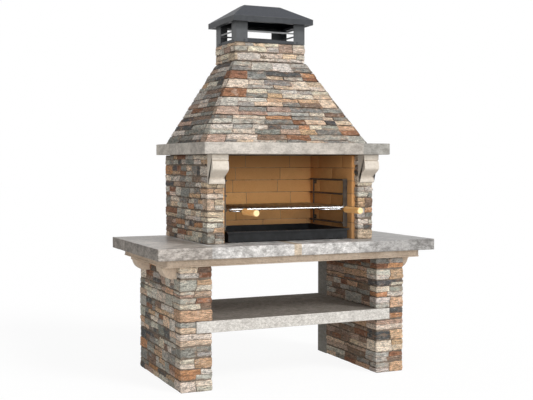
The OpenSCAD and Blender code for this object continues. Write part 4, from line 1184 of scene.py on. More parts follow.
@dataclass
class Facing:
    """One node of facing stones that stand upright: a side of a leg or wall, or its front with returns."""

    node: str
    side: Side
    palette: Palette
    cut: StoneCut = StoneCut()
    seed: int = 1
    thickness: float = 0.028
    corner_radius: float = 0.006
    rear_open: float = 0.35
    bed_above: float = 0.002
    inner_return_to: float | None = None
    named: tuple[tuple[Tone, ...], ...] = ()

    def path(self, course: list[Array]) -> PlanPath:
        """The line of a course's face in plan, with its outer side on the right.

        Args:
            course: The course's stones.

        Returns:
            The path.
        """
        low, high = span_of(course)
        if self.side is Side.LEFT:
            points = [(low[0], high[1]), (low[0], low[1])]
        elif self.side is Side.RIGHT:
            points = [(high[0], low[1]), (high[0], high[1])]
        else:
            left_to, right_to = self.returns(course)
            points = [(low[0], left_to), (low[0], low[1]), (high[0], low[1]), (high[0], right_to)]
        return PlanPath(points, self.corner_radius, self.thickness)

    def returns(self, course: list[Array]) -> tuple[float, float]:
        """How far back a front's left and right returns reach: as its outermost stones, or to the lining.

        Args:
            course: The course's stones from left to right.

        Returns:
            The two places on Y.
        """
        left_to, right_to = course[0][:, 1].max(), course[-1][:, 1].max()
        if self.inner_return_to is None:
            return left_to, right_to
        on_left = span_of(course)[0][0] < 0
        return (left_to, self.inner_return_to) if on_left else (self.inner_return_to, right_to)

    def ends(self) -> tuple[float, float]:
        """How open a course's first and last joint are: less at the rear."""
        return (self.rear_open, 1.0) if self.side is Side.LEFT else (1.0, self.rear_open)

    def build(self, stone: Material, mortar: Material) -> None:
        """Makes the node's courses and the mortar in their beds.

        Args:
            stone: The stones' finish.
            mortar: The mortar's finish.
        """
        draw = np.random.default_rng(self.seed)
        foot, top = corners_of(self.node)
        courses, bedding = Form(), Form()
        for number, course in enumerate(courses_of(self.node, self.side)):
            low, high = span_of(course)
            path = self.path(course)
            height = high[2] - low[2]
            if number < len(self.named):
                blocks = self.named_blocks(course, self.named[number], path, height, draw)
            else:
                blocks = split_run(self.cut, path.length, height, self.palette, draw, ends=self.ends())
            turns = [float(turn) for turn in path.corners]
            along, leaning, z, surface = course_grid(self.cut, blocks, path.length, height, turns,
                                                     self.seed + number)
            outer, normal, _ = path.sample(leaning.ravel())
            plan = outer + normal * surface["depth"].reshape(-1, 1)
            sway = self.cut.sway_of(outer.sum(axis=1).reshape(z.shape), low[2] + z, foot[2], top[2])
            face = np.concatenate([plan.reshape(*z.shape, 2), (low[2] + z + sway)[..., None]], axis=2)
            inner = path.sample(along)[2]
            back = np.concatenate([inner, np.full((len(inner), 1), low[2])], axis=1)
            add_course(courses, face, back, back + [0, 0, height], surface)
            add_bedding(bedding, path, low[2] + self.bed_above, min(high[2] + 0.006, top[2] - 0.001))
        settle_stones(self.node, courses, bedding, stone, mortar)

    def named_blocks(self, course: list[Array], row: tuple[Tone, ...], path: PlanPath, height: float,
                     draw: np.random.Generator) -> list[Block]:
        """The blocks of a course at a front: each stone is whole or has two strips, in tones taken in turn.

        A stone has strips where its solid has points at half its height.

        Args:
            course: The course's stones from left to right.
            row: Its tones.
            path: The line of its face.
            height: Its height.
            draw: Source of seeded draws.

        Returns:
            The blocks of the course.
        """
        blocks: list[Block] = []
        middle = height * draw.uniform(0.46, 0.54)
        left = float(path.starts[1] - course[0][:, 0].min())
        split = [bool((np.abs(part[:, 2] - (part[:, 2].min() + part[:, 2].max()) / 2) < 0.0006).any())
                 for part in course]
        shift = draw.uniform(0.004, 0.013) * draw.choice([-1, 1])
        cuts = [0.0] + [left + float(part[:, 0].min()) for part in course[1:]] + [path.length]
        last = len(course) - 1
        for k in range(len(course)):
            rows = [(0.0, middle), (middle, height)] if split[k] else [(0.0, height)]
            for number, (low, high) in enumerate(rows):
                aside = shift if number else -shift
                start = cuts[k] + (aside if k > 0 and split[k - 1] and split[k] else 0)
                stop = cuts[k + 1] + (aside if k < last and split[k + 1] and split[k] else 0)
                blocks.append(Block((start, low), (stop, high), row[len(blocks) % len(row)], new_seed(draw),
                                    self.rear_open if k == 0 else 1.0, self.rear_open if k == last else 1.0))
        return blocks


@dataclass
class NeckFacing(Facing):
    """The courses round the flue's neck, each of which turns both front corners."""

    node: str = "neck_stones"
    side: Side = Side.FRONT
    palette: Palette = NECK_TONES
    seed: int = 34
    corner_radius: float = 0.005
    bed_above: float = 0.001

    def returns(self, course: list[Array]) -> tuple[float, float]:
        """The courses reach back to the rear on both sides."""
        return (span_of(course)[1][1],) * 2

    def ends(self) -> tuple[float, float]:
        """Both ends lie at the rear."""
        return self.rear_open, self.rear_open


@dataclass
class HoodFacing:
    """The stones of one sloping face of the hood."""

    node: str
    side: Side
    palette: Palette
    seed: int
    corners: tuple[tuple[CornerStone | None, CornerStone], ...]
    cut: StoneCut = StoneCut(block_l=(0.075, 0.17), whole_share=0.36, bed_drop=0.004, bed_reach=0.007)
    facing_t: float = 0.030
    hip_open: float = 0.25
    rear_open: float = 0.4
    back_out: float = 0.06
    mortar_out: tuple[float, float] = (0.1, 0.72)

    def __post_init__(self) -> None:
        """Reads half the width, the front and the rear from the hood's shell and the neck's core."""
        (shell_low, shell_high), (core_low, core_high) = corners_of("hood_shell"), corners_of("neck_core")
        self.z0, self.height = shell_low[2], shell_high[2] - shell_low[2]
        self.base = (shell_high[0], shell_low[1], shell_high[1])
        self.neck = (core_high[0], core_low[1], core_high[1])

    def line(self, measure: int, share: Array | float) -> Array:
        """One of the three measures at a share of the height, straight from the base's to the neck's."""
        return self.base[measure] + (self.neck[measure] - self.base[measure]) * share

    def half_width(self, share: Array, out: Array | float) -> Array:
        """Half the width at a share of the height; out is 0 on the shell and 1 on the facing."""
        return self.line(0, share) + self.facing_t * out

    def front(self, share: Array, out: Array | float) -> Array:
        """The front at a share of the height."""
        return self.line(1, share) - self.facing_t * out

    def place(self, across: Array, share: Array, out: Array | float) -> Array:
        """A point of the facing.

        Args:
            across: From 0 to 1 along the face.
            share: From 0 to 1 up it.
            out: 0 on the shell and 1 on the facing.

        Returns:
            The points.
        """
        half, front = self.half_width(share, out), self.front(share, out)
        if self.side is Side.FRONT:
            x, y = half * (2 * across - 1), front
        else:
            rear = self.line(2, share)
            x, y = (-half if self.side is Side.LEFT else half), rear + (front - rear) * across
        return np.stack(np.broadcast_arrays(x, y, self.z0 + self.height * share), axis=-1)

    def rise(self, course: list[Array]) -> tuple[float, float]:
        """The shares of the height between which a course lies."""
        low, high = span_of(course)
        return float((low[2] - self.z0) / self.height), float((high[2] - self.z0) / self.height)

    def normal(self) -> Array:
        """The outward normal of the face, which leans back as the hood narrows.

        Returns:
            The normal.
        """
        if self.side is Side.FRONT:
            way = np.array([0, -1, (self.neck[1] - self.base[1]) / self.height])
        else:
            sign = -1 if self.side is Side.LEFT else 1
            way = np.array([sign, 0, (self.base[0] - self.neck[0]) / self.height])
        return way / np.linalg.norm(way)

    def build(self, stone: Material, mortar: Material) -> None:
        """Makes the courses of the face and the sheet of mortar in their beds.

        Args:
            stone: The stones' finish.
            mortar: The mortar's finish.
        """
        draw = np.random.default_rng(self.seed)
        out = self.normal()
        slope = self.height / math.sqrt(1 - out[2] ** 2)
        courses, bedding = Form(), Form()
        before = self.hip_open if self.side is Side.FRONT else self.rear_open
        for number, course in enumerate(courses_of(self.node, self.side)):
            s0, s1 = self.rise(course)
            ends = self.place(np.array([0.0, 1.0]), np.array([(s0 + s1) / 2] * 2), 1.0)
            length, height = float(np.linalg.norm(ends[1] - ends[0])), (s1 - s0) * slope
            middle_share = 0.38 + 0.24 * float(hashed(np.array([number]), np.array([1]), 39)[0])
            blocks = split_run(self.cut, length, height, self.palette, draw, *self.corners[number],
                               (before, self.hip_open), middle_share)
            along, leaning, z, surface = course_grid(self.cut, blocks, length, height, [], self.seed + number)
            across, share = leaning / length, s0 + (s1 - s0) * z / height
            flat = self.place(across, share, 1.0)
            sway = self.cut.sway_of(flat[..., 0] + flat[..., 1], flat[..., 2], self.z0, self.z0 + self.height)
            face = self.place(across, share + sway / self.height, 1.0) + surface["depth"][..., None] * out
            edge = self.place((along / length)[:, None], np.array([[s0, s1]]), self.back_out)
            add_course(courses, face, edge[:, 0], edge[:, 1], surface)
        inner, outer = self.mortar_out
        bedding.grid(self.place(np.array([[0.012], [0.988]]), np.array([[0.004, 0.004, 0.996, 0.996]]),
                                np.array([[inner, outer, outer, inner]])), flat_columns=(0, 1, 2, 3))
        settle_stones(self.node, courses, bedding, stone, mortar)


def rim(low: Array, high: Array, radius: float, steps: tuple[int, int], arc: int = 4) -> tuple[Array, Array]:
    """Points and outward normals round a rectangle with eased corners.

    Each side is divided evenly, and each corner is a quarter circle.

    Args:
        low: Lowest corner in plan.
        high: Highest corner in plan.
        radius: Radius of the corners.
        steps: Divisions of the sides along X and along Y.
        arc: Divisions of a corner.

    Returns:
        Two arrays of points in plan, counter-clockwise from the front left corner.
    """
    centres = np.array([[low[0] + radius, low[1] + radius], [high[0] - radius, low[1] + radius],
                        [high[0] - radius, high[1] - radius], [low[0] + radius, high[1] - radius]])
    points, normals = [], []
    for k in range(4):
        angle = math.pi + math.pi / 2 * (k + np.linspace(0, 1, arc + 1))
        turned = np.stack([np.cos(angle), np.sin(angle)], axis=1)
        ends = centres[k] + radius * turned
        following = centres[(k + 1) % 4] + radius * turned[-1]
        share = np.linspace(0, 1, steps[k % 2] + 1)[1:-1, None]
        points += [ends, ends[-1] + (following - ends[-1]) * share]
        normals += [turned, np.repeat(turned[-1:], len(share), axis=0)]
    return np.concatenate(points), np.concatenate(normals)


def carried_round(outline: Array, normals: Array, inset: Array, z: Array) -> Array:
    """A profile carried round an outline: each of its points gives a ring, drawn in by an inset.

    Args:
        outline: Points in plan.
        normals: Their outward normals.
        inset: Insets by point of the profile, or by that and point of the outline.
        z: Heights, in the same way.

    Returns:
        Rings by points by three.
    """
    inset, z = (np.broadcast_to(part if part.ndim > 1 else part[:, None], (len(part), len(outline)))
                for part in (inset, z))
    return np.concatenate([outline - normals * inset[..., None], z[..., None]], axis=2)


def quarter(radius: float, steps: int) -> tuple[Array, Array]:
    """Inset and drop of a rounded edge, from the side of a slab to its flat: a quarter circle."""
    angle = np.linspace(0, math.pi / 2, steps + 1)
    return radius * (1 - np.cos(angle)), radius * (1 - np.sin(angle))


def eased_run(start: float, end: float, edge: float, flat: float) -> tuple[Array, Array]:
    """Places from a start to an end, and the insets there: a quarter circle at both, closed by a flat.

    Args:
        start: The first place.
        end: The last place.
        edge: Radius of the quarter circles.
        flat: How far the flats are drawn in, as a multiple of the radius.

    Returns:
        The places and the insets.
    """
    inset, drop = quarter(edge, 3)
    return (np.concatenate([[start], start + drop[::-1], end - drop, [end]]),
            np.concatenate([[edge * flat], inset[::-1], inset, [edge * flat]]))


@dataclass
class CastSlab:
    """A cast slab with worn, rounded edges, which may have an opening through it."""

    node: str
    seed: int
    edge: float = 0.0045
    wear: float = 0.0012
    corner: float = 0.006
    step: float = 0.008
    edge_steps: int = 4
    opening: bool = False
    opening_corner: float = 0.004
    border: float = 0.03

    def opening_box(self) -> tuple[Array, Array]:
        """The opening's corners in plan: those of the node's own points that lie inside its border.

        Returns:
            Lowest and highest corner.
        """
        points = np.concatenate(loose_parts(self.node))[:, :2]
        low, high = corners_of(self.node)
        inside = ((points > low[:2] + self.border) & (points < high[:2] - self.border)).all(axis=1)
        return points[inside].min(axis=0), points[inside].max(axis=0)

    def build(self, material: Material) -> None:
        """Makes the slab.

        Its outline is carried up through a rounded lower edge, a slightly uneven side and a rounded upper
        edge. The edges' radius varies along the outline by noise, as wear.

        Args:
            material: The slab's finish.
        """
        low, high = corners_of(self.node)
        steps = (int((high[0] - low[0]) / self.step), int((high[1] - low[1]) / self.step))
        outline, normals = rim(low[:2], high[:2], self.corner, steps)
        run = np.concatenate([[0], np.cumsum(np.linalg.norm(np.diff(outline, axis=0), axis=1))])
        inset, drop = (part[:, None] for part in quarter(1.0, self.edge_steps))
        worn_low, worn_high = (
            self.edge + self.wear * layered(run, run * 0, (1, 0.03, 1, self.seed + k),
                                            (0.6, 0.009, 1, self.seed + 7 + k)) for k in (0, 1))
        up = np.linspace(low[2], high[2], 8)[1:-1, None] + run * 0
        sunk = 0.0005 * (1 + smooth_noise(run / 0.05, up / 0.02, self.seed + 20))
        flat = np.full((1, len(run)), self.edge + 2.2 * self.wear)
        insets = np.concatenate([flat, (worn_low * inset)[::-1], sunk, worn_high * inset, flat])
        z = np.concatenate([flat * 0 + low[2], (low[2] + worn_low * drop)[::-1], up,
                            high[2] - worn_high * drop, flat * 0 + high[2]])
        rings = carried_round(outline, normals, insets, z)
        form = Form()
        if self.opening:
            hole, _ = rim(*self.opening_box(), self.opening_corner, steps)
            mouth = carried_round(hole, hole, np.zeros(2), np.array([low[2], high[2]]))
            rings = np.concatenate([mouth[:1], rings, mouth[1:]])
        form.grid(rings, loop=self.opening)
        form.settle(self.node + "_cast", material, "cast_stone", MASONRY, self.node)


@dataclass
class MouldedSlab:
    """The slab under the worktop: a bead along its lower edge and a flat face above it."""

    node: str = "worktop_moulding"
    bead_h: float = 0.008
    bead_out: float = 0.003
    corner: float = 0.003
    ease: float = 0.001
    under: float = 0.02
    step: float = 0.02

    def build(self, material: Material) -> None:
        """Makes the slab by carrying its profile round its outline.

        The bead is a half circle, cut where it runs into the flat face.

        Args:
            material: The slab's finish.
        """
        low, high = corners_of(self.node)
        steps = (int((high[0] - low[0]) / self.step), int((high[1] - low[1]) / self.step))
        half = self.bead_h / 2
        angle = np.linspace(-math.pi / 2, math.acos(1 - self.bead_out / half), 10)
        top = high[2] - low[2]
        inset = np.concatenate([[self.under], half * (1 - np.cos(angle)),
                                [self.bead_out, self.bead_out, self.bead_out + self.ease]])
        z = np.concatenate([[0.0], half * (1 + np.sin(angle)),
                            [self.bead_h + self.ease, top - self.ease, top]])
        form = Form()
        form.grid(carried_round(*rim(low[:2], high[:2], self.corner, steps), inset, low[2] + z))
        form.settle("worktop_moulding_cast", material, "moulded_stone", MASONRY, self.node)


def carried_profile(profile: Array, start: float, end: float, edge: float) -> Array:
    """A closed profile in Y and Z carried along X, drawn in over a quarter circle at either end.

    Args:
        profile: Points of the profile as Y and Z.
        start: Where it starts on X.
        end: Where it ends on X.
        edge: Radius of the eased ends.

    Returns:
        Rows along X by points of the profile.
    """
    following, before = np.roll(profile, -1, axis=0), np.roll(profile, 1, axis=0)
    way = following - before
    way /= np.linalg.norm(way, axis=1)[:, None]
    normal = np.stack([way[:, 1], -way[:, 0]], axis=1)
    normal *= np.sign(np.sum(profile[:, 0] * following[:, 1] - following[:, 0] * profile[:, 1]))
    x, sunk = eased_run(start, end, edge, 1.8)
    drawn = profile[None] - normal[None] * sunk[:, None, None]
    return np.concatenate([np.broadcast_to(x[:, None, None], (*drawn.shape[:2], 1)), drawn], axis=2)


@dataclass
class MantelCorbel:
    """A pale scrolled corbel in front of a wall: its sizes follow the solid's."""

    node: str
    band_h: float = 0.028
    band_in: float = 0.005
    band_round: float = 0.003
    groove_h: float = 0.005
    groove_in: float = 0.014
    base_h: float = 0.025
    foot: float = 0.025
    foot_step: float = 0.007
    belly: float = 0.004
    straight_share: float = 0.42
    stone_face: float = 0.008
    edge: float = 0.002

    def profile(self, front: float, out: float, high: float, low: float) -> Array:
        """The side view: band, groove, a belly that swells by a sine, a sweep by a cosine, and the base band.

        Args:
            front: Y of the wall's face.
            out: How far the belly stands out.
            high: Z of the top.
            low: Z of the foot.

        Returns:
            Points as Y and Z.
        """
        band_z, belly_z = high - self.band_h, high - self.band_h - self.groove_h
        fall = belly_z - low - self.base_h
        straight = fall * self.straight_share
        inner = self.foot - self.foot_step
        turn = np.linspace(0, math.pi / 2, 5)[::-1]
        band = np.stack([-out + self.band_in + self.band_round * (1 - np.sin(turn)),
                         band_z + self.band_round * (1 - np.cos(turn))], axis=1)
        t, u = np.linspace(0, 1, 9), np.linspace(0, 1, 25)[1:]
        belly = np.stack([-out + self.belly * (1 - np.sin(t * math.pi / 2)), belly_z - straight * t], axis=1)
        swept = np.stack([-out + (out - inner) * (1 - np.cos(math.pi * u)) / 2,
                          belly_z - straight - (fall - straight) * u], axis=1)
        top = [[0.0, high], [-out + 0.006, high], [-out + 0.005, high - 0.0015]]
        groove = [[-out + self.groove_in, band_z - 0.0005], [-out + self.groove_in, belly_z + 0.0005]]
        foot = [[-self.foot, low + self.base_h], [-self.foot, low + 0.001], [-self.foot + 0.001, low],
                [0.0, low]]
        return np.concatenate([top, band, groove, belly, swept, foot]) + [front, 0.0]

    def build(self, material: Material) -> None:
        """Makes the corbel.

        Args:
            material: Its finish.
        """
        low, high = corners_of(self.node)
        front = corners_of("wall_left_front_stones")[0][1] + self.stone_face
        form = Form()
        profile = self.profile(front, front - low[1], high[2], low[2])
        form.grid(carried_profile(profile, low[0], high[0], self.edge))
        form.settle(self.node + "_cast", material, "pale_stone", MASONRY, self.node)


@dataclass
class WorktopCorbel:
    """A corbel under the worktop, set through a leg's facing: a fillet, a step and a swelling curve."""

    node: str
    foot: float = 0.028
    fillet: float = 0.012
    inset: float = 0.006
    splay: float = 0.002
    swell: float = 0.008
    bedded: float = 0.030
    edge: float = 0.002
    ease: float = 0.0012

    def build(self, material: Material) -> None:
        """Makes the corbel from its side view, which lies in X and Z and is carried along Y.

        Below the fillet the side view follows a chord down to the foot and swells beyond it by a sine.

        Args:
            material: Its finish.
        """
        low, high = corners_of(self.node)
        face, sign = (high[0] - self.bedded, 1) if low[0] < 0 else (low[0] + self.bedded, -1)
        out = high[0] - low[0] - self.bedded
        under = high[2] - self.fillet
        run, fall = out - self.inset - self.foot, under - self.splay - low[2]
        share = np.linspace(0, 1, 15)
        bulge = self.swell * np.sin(math.pi * share) / math.hypot(run, fall)
        curve = np.stack([-self.foot - run * (1 - share) - fall * bulge,
                          under - self.splay - fall * share - run * bulge], axis=1)
        top = [[self.bedded, high[2]], [-out + self.ease, high[2]], [-out, high[2] - self.ease],
               [-out, under + self.ease], [-out + self.ease, under]]
        profile = np.concatenate([top, curve, [[self.bedded, low[2]]]])
        carried = carried_profile(profile, low[1], high[1], self.edge)
        form = Form()
        form.grid(np.stack([face + sign * carried[..., 1], carried[..., 0], carried[..., 2]], axis=-1))
        form.settle(self.node + "_cast", material, "moulded_stone", MASONRY, self.node)


@dataclass
class Lining:
    """Firebricks with eased edges, and the mortar that lies back in their joints."""

    node: str
    seed: int
    edge: float = 0.002
    mortar_set: float = 0.0018
    mortar_short: float = 0.0005

    def build(self, brick: Material, mortar: Material) -> None:
        """Makes the bricks and their mortar bed.

        Args:
            brick: The bricks' finish.
            mortar: The mortar's finish.
        """
        draw = np.random.default_rng(self.seed)
        bricks, bed = Form(), Form()
        for part in loose_parts(self.node):
            low, high = span_of([part])
            z, inset = eased_run(low[2], high[2], self.edge, 2)
            rings = carried_round(*rim(low[:2], high[:2], self.edge, (3, 3), 3), inset, z)
            bricks.grid(rings, seed=np.full(rings.shape[:2], draw.uniform()))
        bricks.settle(self.node + "_eased", brick, "firebrick", MASONRY, self.node)
        low, high = corners_of(self.node)
        outline, _ = rim(low[:2] + self.mortar_set, high[:2] - self.mortar_set, 0.001, (2, 2), 1)
        heights = np.array([low[2] + self.mortar_short, high[2] - self.mortar_short])
        bed.grid(carried_round(outline, outline, np.zeros(2), heights),
                 flat_columns=tuple(range(len(outline))))
        bed.settle(self.node.replace("bricks", "mortar"), mortar, "firebrick", MASONRY)


@dataclass
class Masonry:
    """All stone, cast stone, concrete and brick.

    The tones of the fronts and of the hood's hips are named course by course from the lowest. A stone that
    has two strips takes two of them.
    """

    effects: Effects
    left_leg: str = (
        "CREAM PALE_GREY, ORANGE ORANGE SILVER PALE_GREY, CREAM CREAM TAN SILVER, GREY SILVER GREY, "
        "SAND CREAM, SAND SILVER, TAN ORANGE, CREAM SILVER BROWN RUST, PINK PALE_GREY, "
        "SILVER CREAM TAN ORANGE, PALE_GREY CREAM RUST BROWN")
    right_leg: str = (
        "PALE_GREY SILVER TAN BROWN, SILVER SILVER BROWN RUST, CREAM SAND TAN ORANGE, "
        "CHARCOAL CHARCOAL TAN SILVER, CREAM PINK, ORANGE CHARCOAL, SILVER PALE_GREY TAN RUST, "
        "ORANGE CREAM PALE_GREY SILVER, CHARCOAL CREAM, PALE_GREY PALE_GREY TAN ORANGE, "
        "RUST GREY ORANGE SILVER")
    left_wall: str = (
        "GREY SILVER, SILVER PALE_GREY TAN, CREAM SAND, SAND PALE_GREY, CREAM TAN, SAND SILVER, "
        "PALE_GREY CREAM, TAN CREAM")
    right_wall: str = (
        "SAND TAN CHARCOAL, PALE_GREY CREAM CHARCOAL, SILVER GREY ORANGE, TAN TAN BROWN, "
        "PALE_GREY SILVER GREY, CREAM CREAM BROWN, CHARCOAL GREY RUST, PALE_GREY SAND")
    left_hip: str = "PINK, SILVER PALE_GREY, PALE_GREY GREY, PINK, PALE_GREY, RUST, CREAM, RUST, GREY SILVER"
    right_hip: str = (
        "SILVER, RUST TAN, SAND GREY, BROWN GREY, SAND, SAND CREAM, CREAM SAND, RUST ORANGE, GREY SILVER")

    def stones(self) -> None:
        """Builds the split stones of the legs, walls, hood and neck."""
        stone = LedgerStoneFinish().material(self.effects)
        mortar = CastStoneFinish("bed mortar", paint(132, 120, 107), paint(96, 86, 76), gloss=0.9,
                                 cloud_size=20.0).material(self.effects)
        lining_front = float(corners_of("lining_left_bricks")[0][1])
        thin = StoneCut(block_l=(0.08, 0.19), whole_share=0.1)
        large = StoneCut(block_l=(0.07, 0.14), whole_share=0.5)

        def fronts(part: str, left: str, right: str, seed: int, thickness: float,
                   inner: float | None = None) -> list[Facing]:
            """The left and the right front of the legs or of the walls."""
            return [Facing(f"{part}_{side}_front_stones", Side.FRONT, FRONT_TONES, seed=seed + k,
                           thickness=thickness, inner_return_to=inner, named=Tone.rows(tones))
                    for k, (side, tones) in enumerate((("left", left), ("right", right)))]

        for facing in (*fronts("leg", self.left_leg, self.right_leg, 11, 0.055),
                       Facing("leg_left_outer_stones", Side.LEFT, SIDE_TONES, large, 13),
                       Facing("leg_left_inner_stones", Side.RIGHT, WARM_TONES, thin, 14),
                       Facing("leg_right_outer_stones", Side.RIGHT, SIDE_TONES, large, 15),
                       Facing("leg_right_inner_stones", Side.LEFT, WARM_TONES, thin, 16),
                       *fronts("wall", self.left_wall, self.right_wall, 17, 0.044, lining_front),
                       Facing("wall_left_outer_stones", Side.LEFT, SIDE_TONES, seed=19),
                       Facing("wall_right_outer_stones", Side.RIGHT, SIDE_TONES, seed=20)):
            facing.build(stone, mortar)
        self.hood(stone, mortar)
        NeckFacing().build(stone, mortar)

    def hood(self, stone: Material, mortar: Material) -> None:
        """Builds the hood's three faces, whose corner stones keep their tones round the hips.

        Args:
            stone: The stones' finish.
            mortar: The mortar's finish.
        """
        draw = np.random.default_rng(36)
        fronts, lefts, rights = [], [], []
        for left, right in zip(Tone.rows(self.left_hip), Tone.rows(self.right_hip)):
            fronts.append((CornerStone(left, draw.uniform(0.09, 0.135)),
                           CornerStone(right, draw.uniform(0.08, 0.12))))
            lefts.append((None, CornerStone(left, draw.uniform(0.04, 0.085))))
            rights.append((None, CornerStone(right, draw.uniform(0.04, 0.085))))
        long_cut = StoneCut(block_l=(0.11, 0.26), whole_share=0.24, bed_drop=0.0034, bed_reach=0.008,
                            strip_drop=0.002, joint_drop=0.0022, offset=0.0024, rough=0.0015)
        for node, side, palette, seed, corners, cut in (
                ("hood_front_stones", Side.FRONT, HOOD_TONES, 31, fronts, HoodFacing.cut),
                ("hood_left_stones", Side.LEFT, HOOD_SIDE_TONES, 32, lefts, long_cut),
                ("hood_right_stones", Side.RIGHT, HOOD_SIDE_TONES, 33, rights, long_cut)):
            HoodFacing(node, side, palette, seed, tuple(corners), cut).build(stone, mortar)

    def slabs(self) -> None:
        """Builds the cast slabs, the moulding and the corbels."""
        worktop_top, shelf_top = (float(corners_of(node)[1][2]) - 0.0005
                                  for node in ("worktop_slab", "shelf_slab"))
        # Worktop zones along X: the left end face darker, a painted shade; the front's left part darker, a
        # warm stripe near the middle, and darker in steps towards the right end.
        darker = paint(241, 241, 241)
        worktop, mantel, shelf, moulded, pale = (finish.material(self.effects) for finish in (
            CastStoneFinish("worktop cast stone", paint(234, 231, 228), paint(138, 135, 132), gloss=0.3,
                            polished_from=worktop_top, specular=0.3, cloud_size=12.0, mottle_size=30.0,
                            mottled=0.5, contrast=0.13,
                            zones=((-0.76, -0.748, paint(204, 203, 202)),
                                   (-0.76, -0.485, paint(224, 218, 212)),
                                   (-0.06, -0.02, paint(244, 228, 206)),
                                   *((start, 0.76, darker) for start in (0.24, 0.3, 0.36, 0.42)))),
            CastStoneFinish("mantel cast stone", paint(212, 205, 196), paint(158, 152, 145), gloss=0.5,
                            zones=((0.0, 0.35, paint(243, 242, 241)), (0.35, 0.52, paint(218, 222, 224))),
                            cloud_size=8.0, mottle_size=24.0, mottled=0.36, contrast=0.12),
            # The shelf's top face is darker, a painted shade under the worktop.
            CastStoneFinish("shelf cast stone", paint(228, 224, 218), paint(166, 162, 156),
                            mottle_size=55.0, cloud_size=14.0, mottled=0.6, contrast=0.15,
                            top=paint(172, 168, 164), painted_shade_from=shelf_top),
            CastStoneFinish("moulded stone", paint(214, 196, 177), paint(188, 168, 148),
                            stain_amount=0.36, pore=0.25),
            CastStoneFinish("pale stone", paint(218, 209, 197), paint(200, 190, 177),
                            stain=paint(176, 164, 148), stain_amount=0.36, pore=0.15)))
        CastSlab("worktop_slab", 41).build(worktop)
        CastSlab("mantel_slab", 51, opening=True).build(mantel)
        CastSlab("shelf_slab", 61, edge=0.003).build(shelf)
        MouldedSlab().build(moulded)
        for side in ("left", "right"):
            MantelCorbel(f"mantel_corbel_{side}").build(pale)
            for end in ("front", "rear"):
                WorktopCorbel(f"worktop_corbel_{side}_{end}").build(moulded)

    def lining(self) -> None:
        """Builds the firebricks and dresses the concrete behind them."""
        brick = FirebrickFinish().material(self.effects)
        mortar = CastStoneFinish("fire mortar", paint(190, 162, 130), paint(92, 66, 46), gloss=0.85,
                                 cloud_size=5.0, contrast=0.09).material(self.effects)
        for seed, side in enumerate(("back", "left", "right"), 70):
            Lining(f"lining_{side}_bricks", seed).build(brick, mortar)
        concrete = CastStoneFinish("concrete", paint(150, 147, 141), paint(122, 119, 114), pore=0.6,
                                   gloss=0.8, cloud_size=5.0).material(self.effects)
        dress(concrete, "leg_left_core leg_right_core wall_left_core wall_right_core back_panel "
                        "hood_shell neck_core")


@dataclass
class TurnedHandle:
    """A turned wooden handle: eased ends, a slight waist and a neck for its collar."""

    node: str
    sides: int = 40
    waist: float = 0.0012
    end_round: float = 0.004
    ferrule_l: float = 0.012
    neck_in: float = 0.005
    hollow_r: float = 0.0012
    hollow: float = 0.0016
    centre_r: float = 0.004

    def build(self, material: Material) -> None:
        """Makes the handle by turning its profile round its axis.

        The profile starts in the hollow of the end grain, rounds the end by a quarter circle, runs along the
        waist by a sine and ends in the neck.

        Args:
            material: Its wood.
        """
        low, high = corners_of(self.node)
        centre = (low + high) / 2
        radius, length = (high[0] - low[0]) / 2, high[1] - low[1]
        e = self.end_round
        angle = np.linspace(0, math.pi / 2, 7)
        t = np.linspace(0, 1, 24)[1:-1]
        barrel_l = length - self.ferrule_l - 2 * e
        reach = np.concatenate([[self.hollow_r, self.centre_r, radius * 0.6], radius - e + e * np.sin(angle),
                                radius - self.waist * np.sin(math.pi * t), radius - e + e * np.cos(angle),
                                [radius - self.neck_in, radius - self.neck_in, self.centre_r]])
        run = np.concatenate([[self.hollow, 0, 0], e - e * np.cos(angle), e + barrel_l * t,
                              e + barrel_l + e * np.sin(angle), [length - self.ferrule_l, length, length]])
        end = np.concatenate([np.ones(4), np.linspace(1, 0, 6), np.zeros(len(reach) - 10)])
        turn = np.linspace(0, 2 * math.pi, self.sides + 1)[:-1]
        points = np.stack([centre[0] + reach[:, None] * np.cos(turn), low[1] + run[:, None] + 0 * turn,
                           centre[2] + reach[:, None] * np.sin(turn)], axis=-1)
        form = Form()
        form.grid(points, end=np.broadcast_to(end[:, None], points.shape[:2]))
        form.settle(self.node + "_turned", material, "handle_wood", GRILL, self.node)


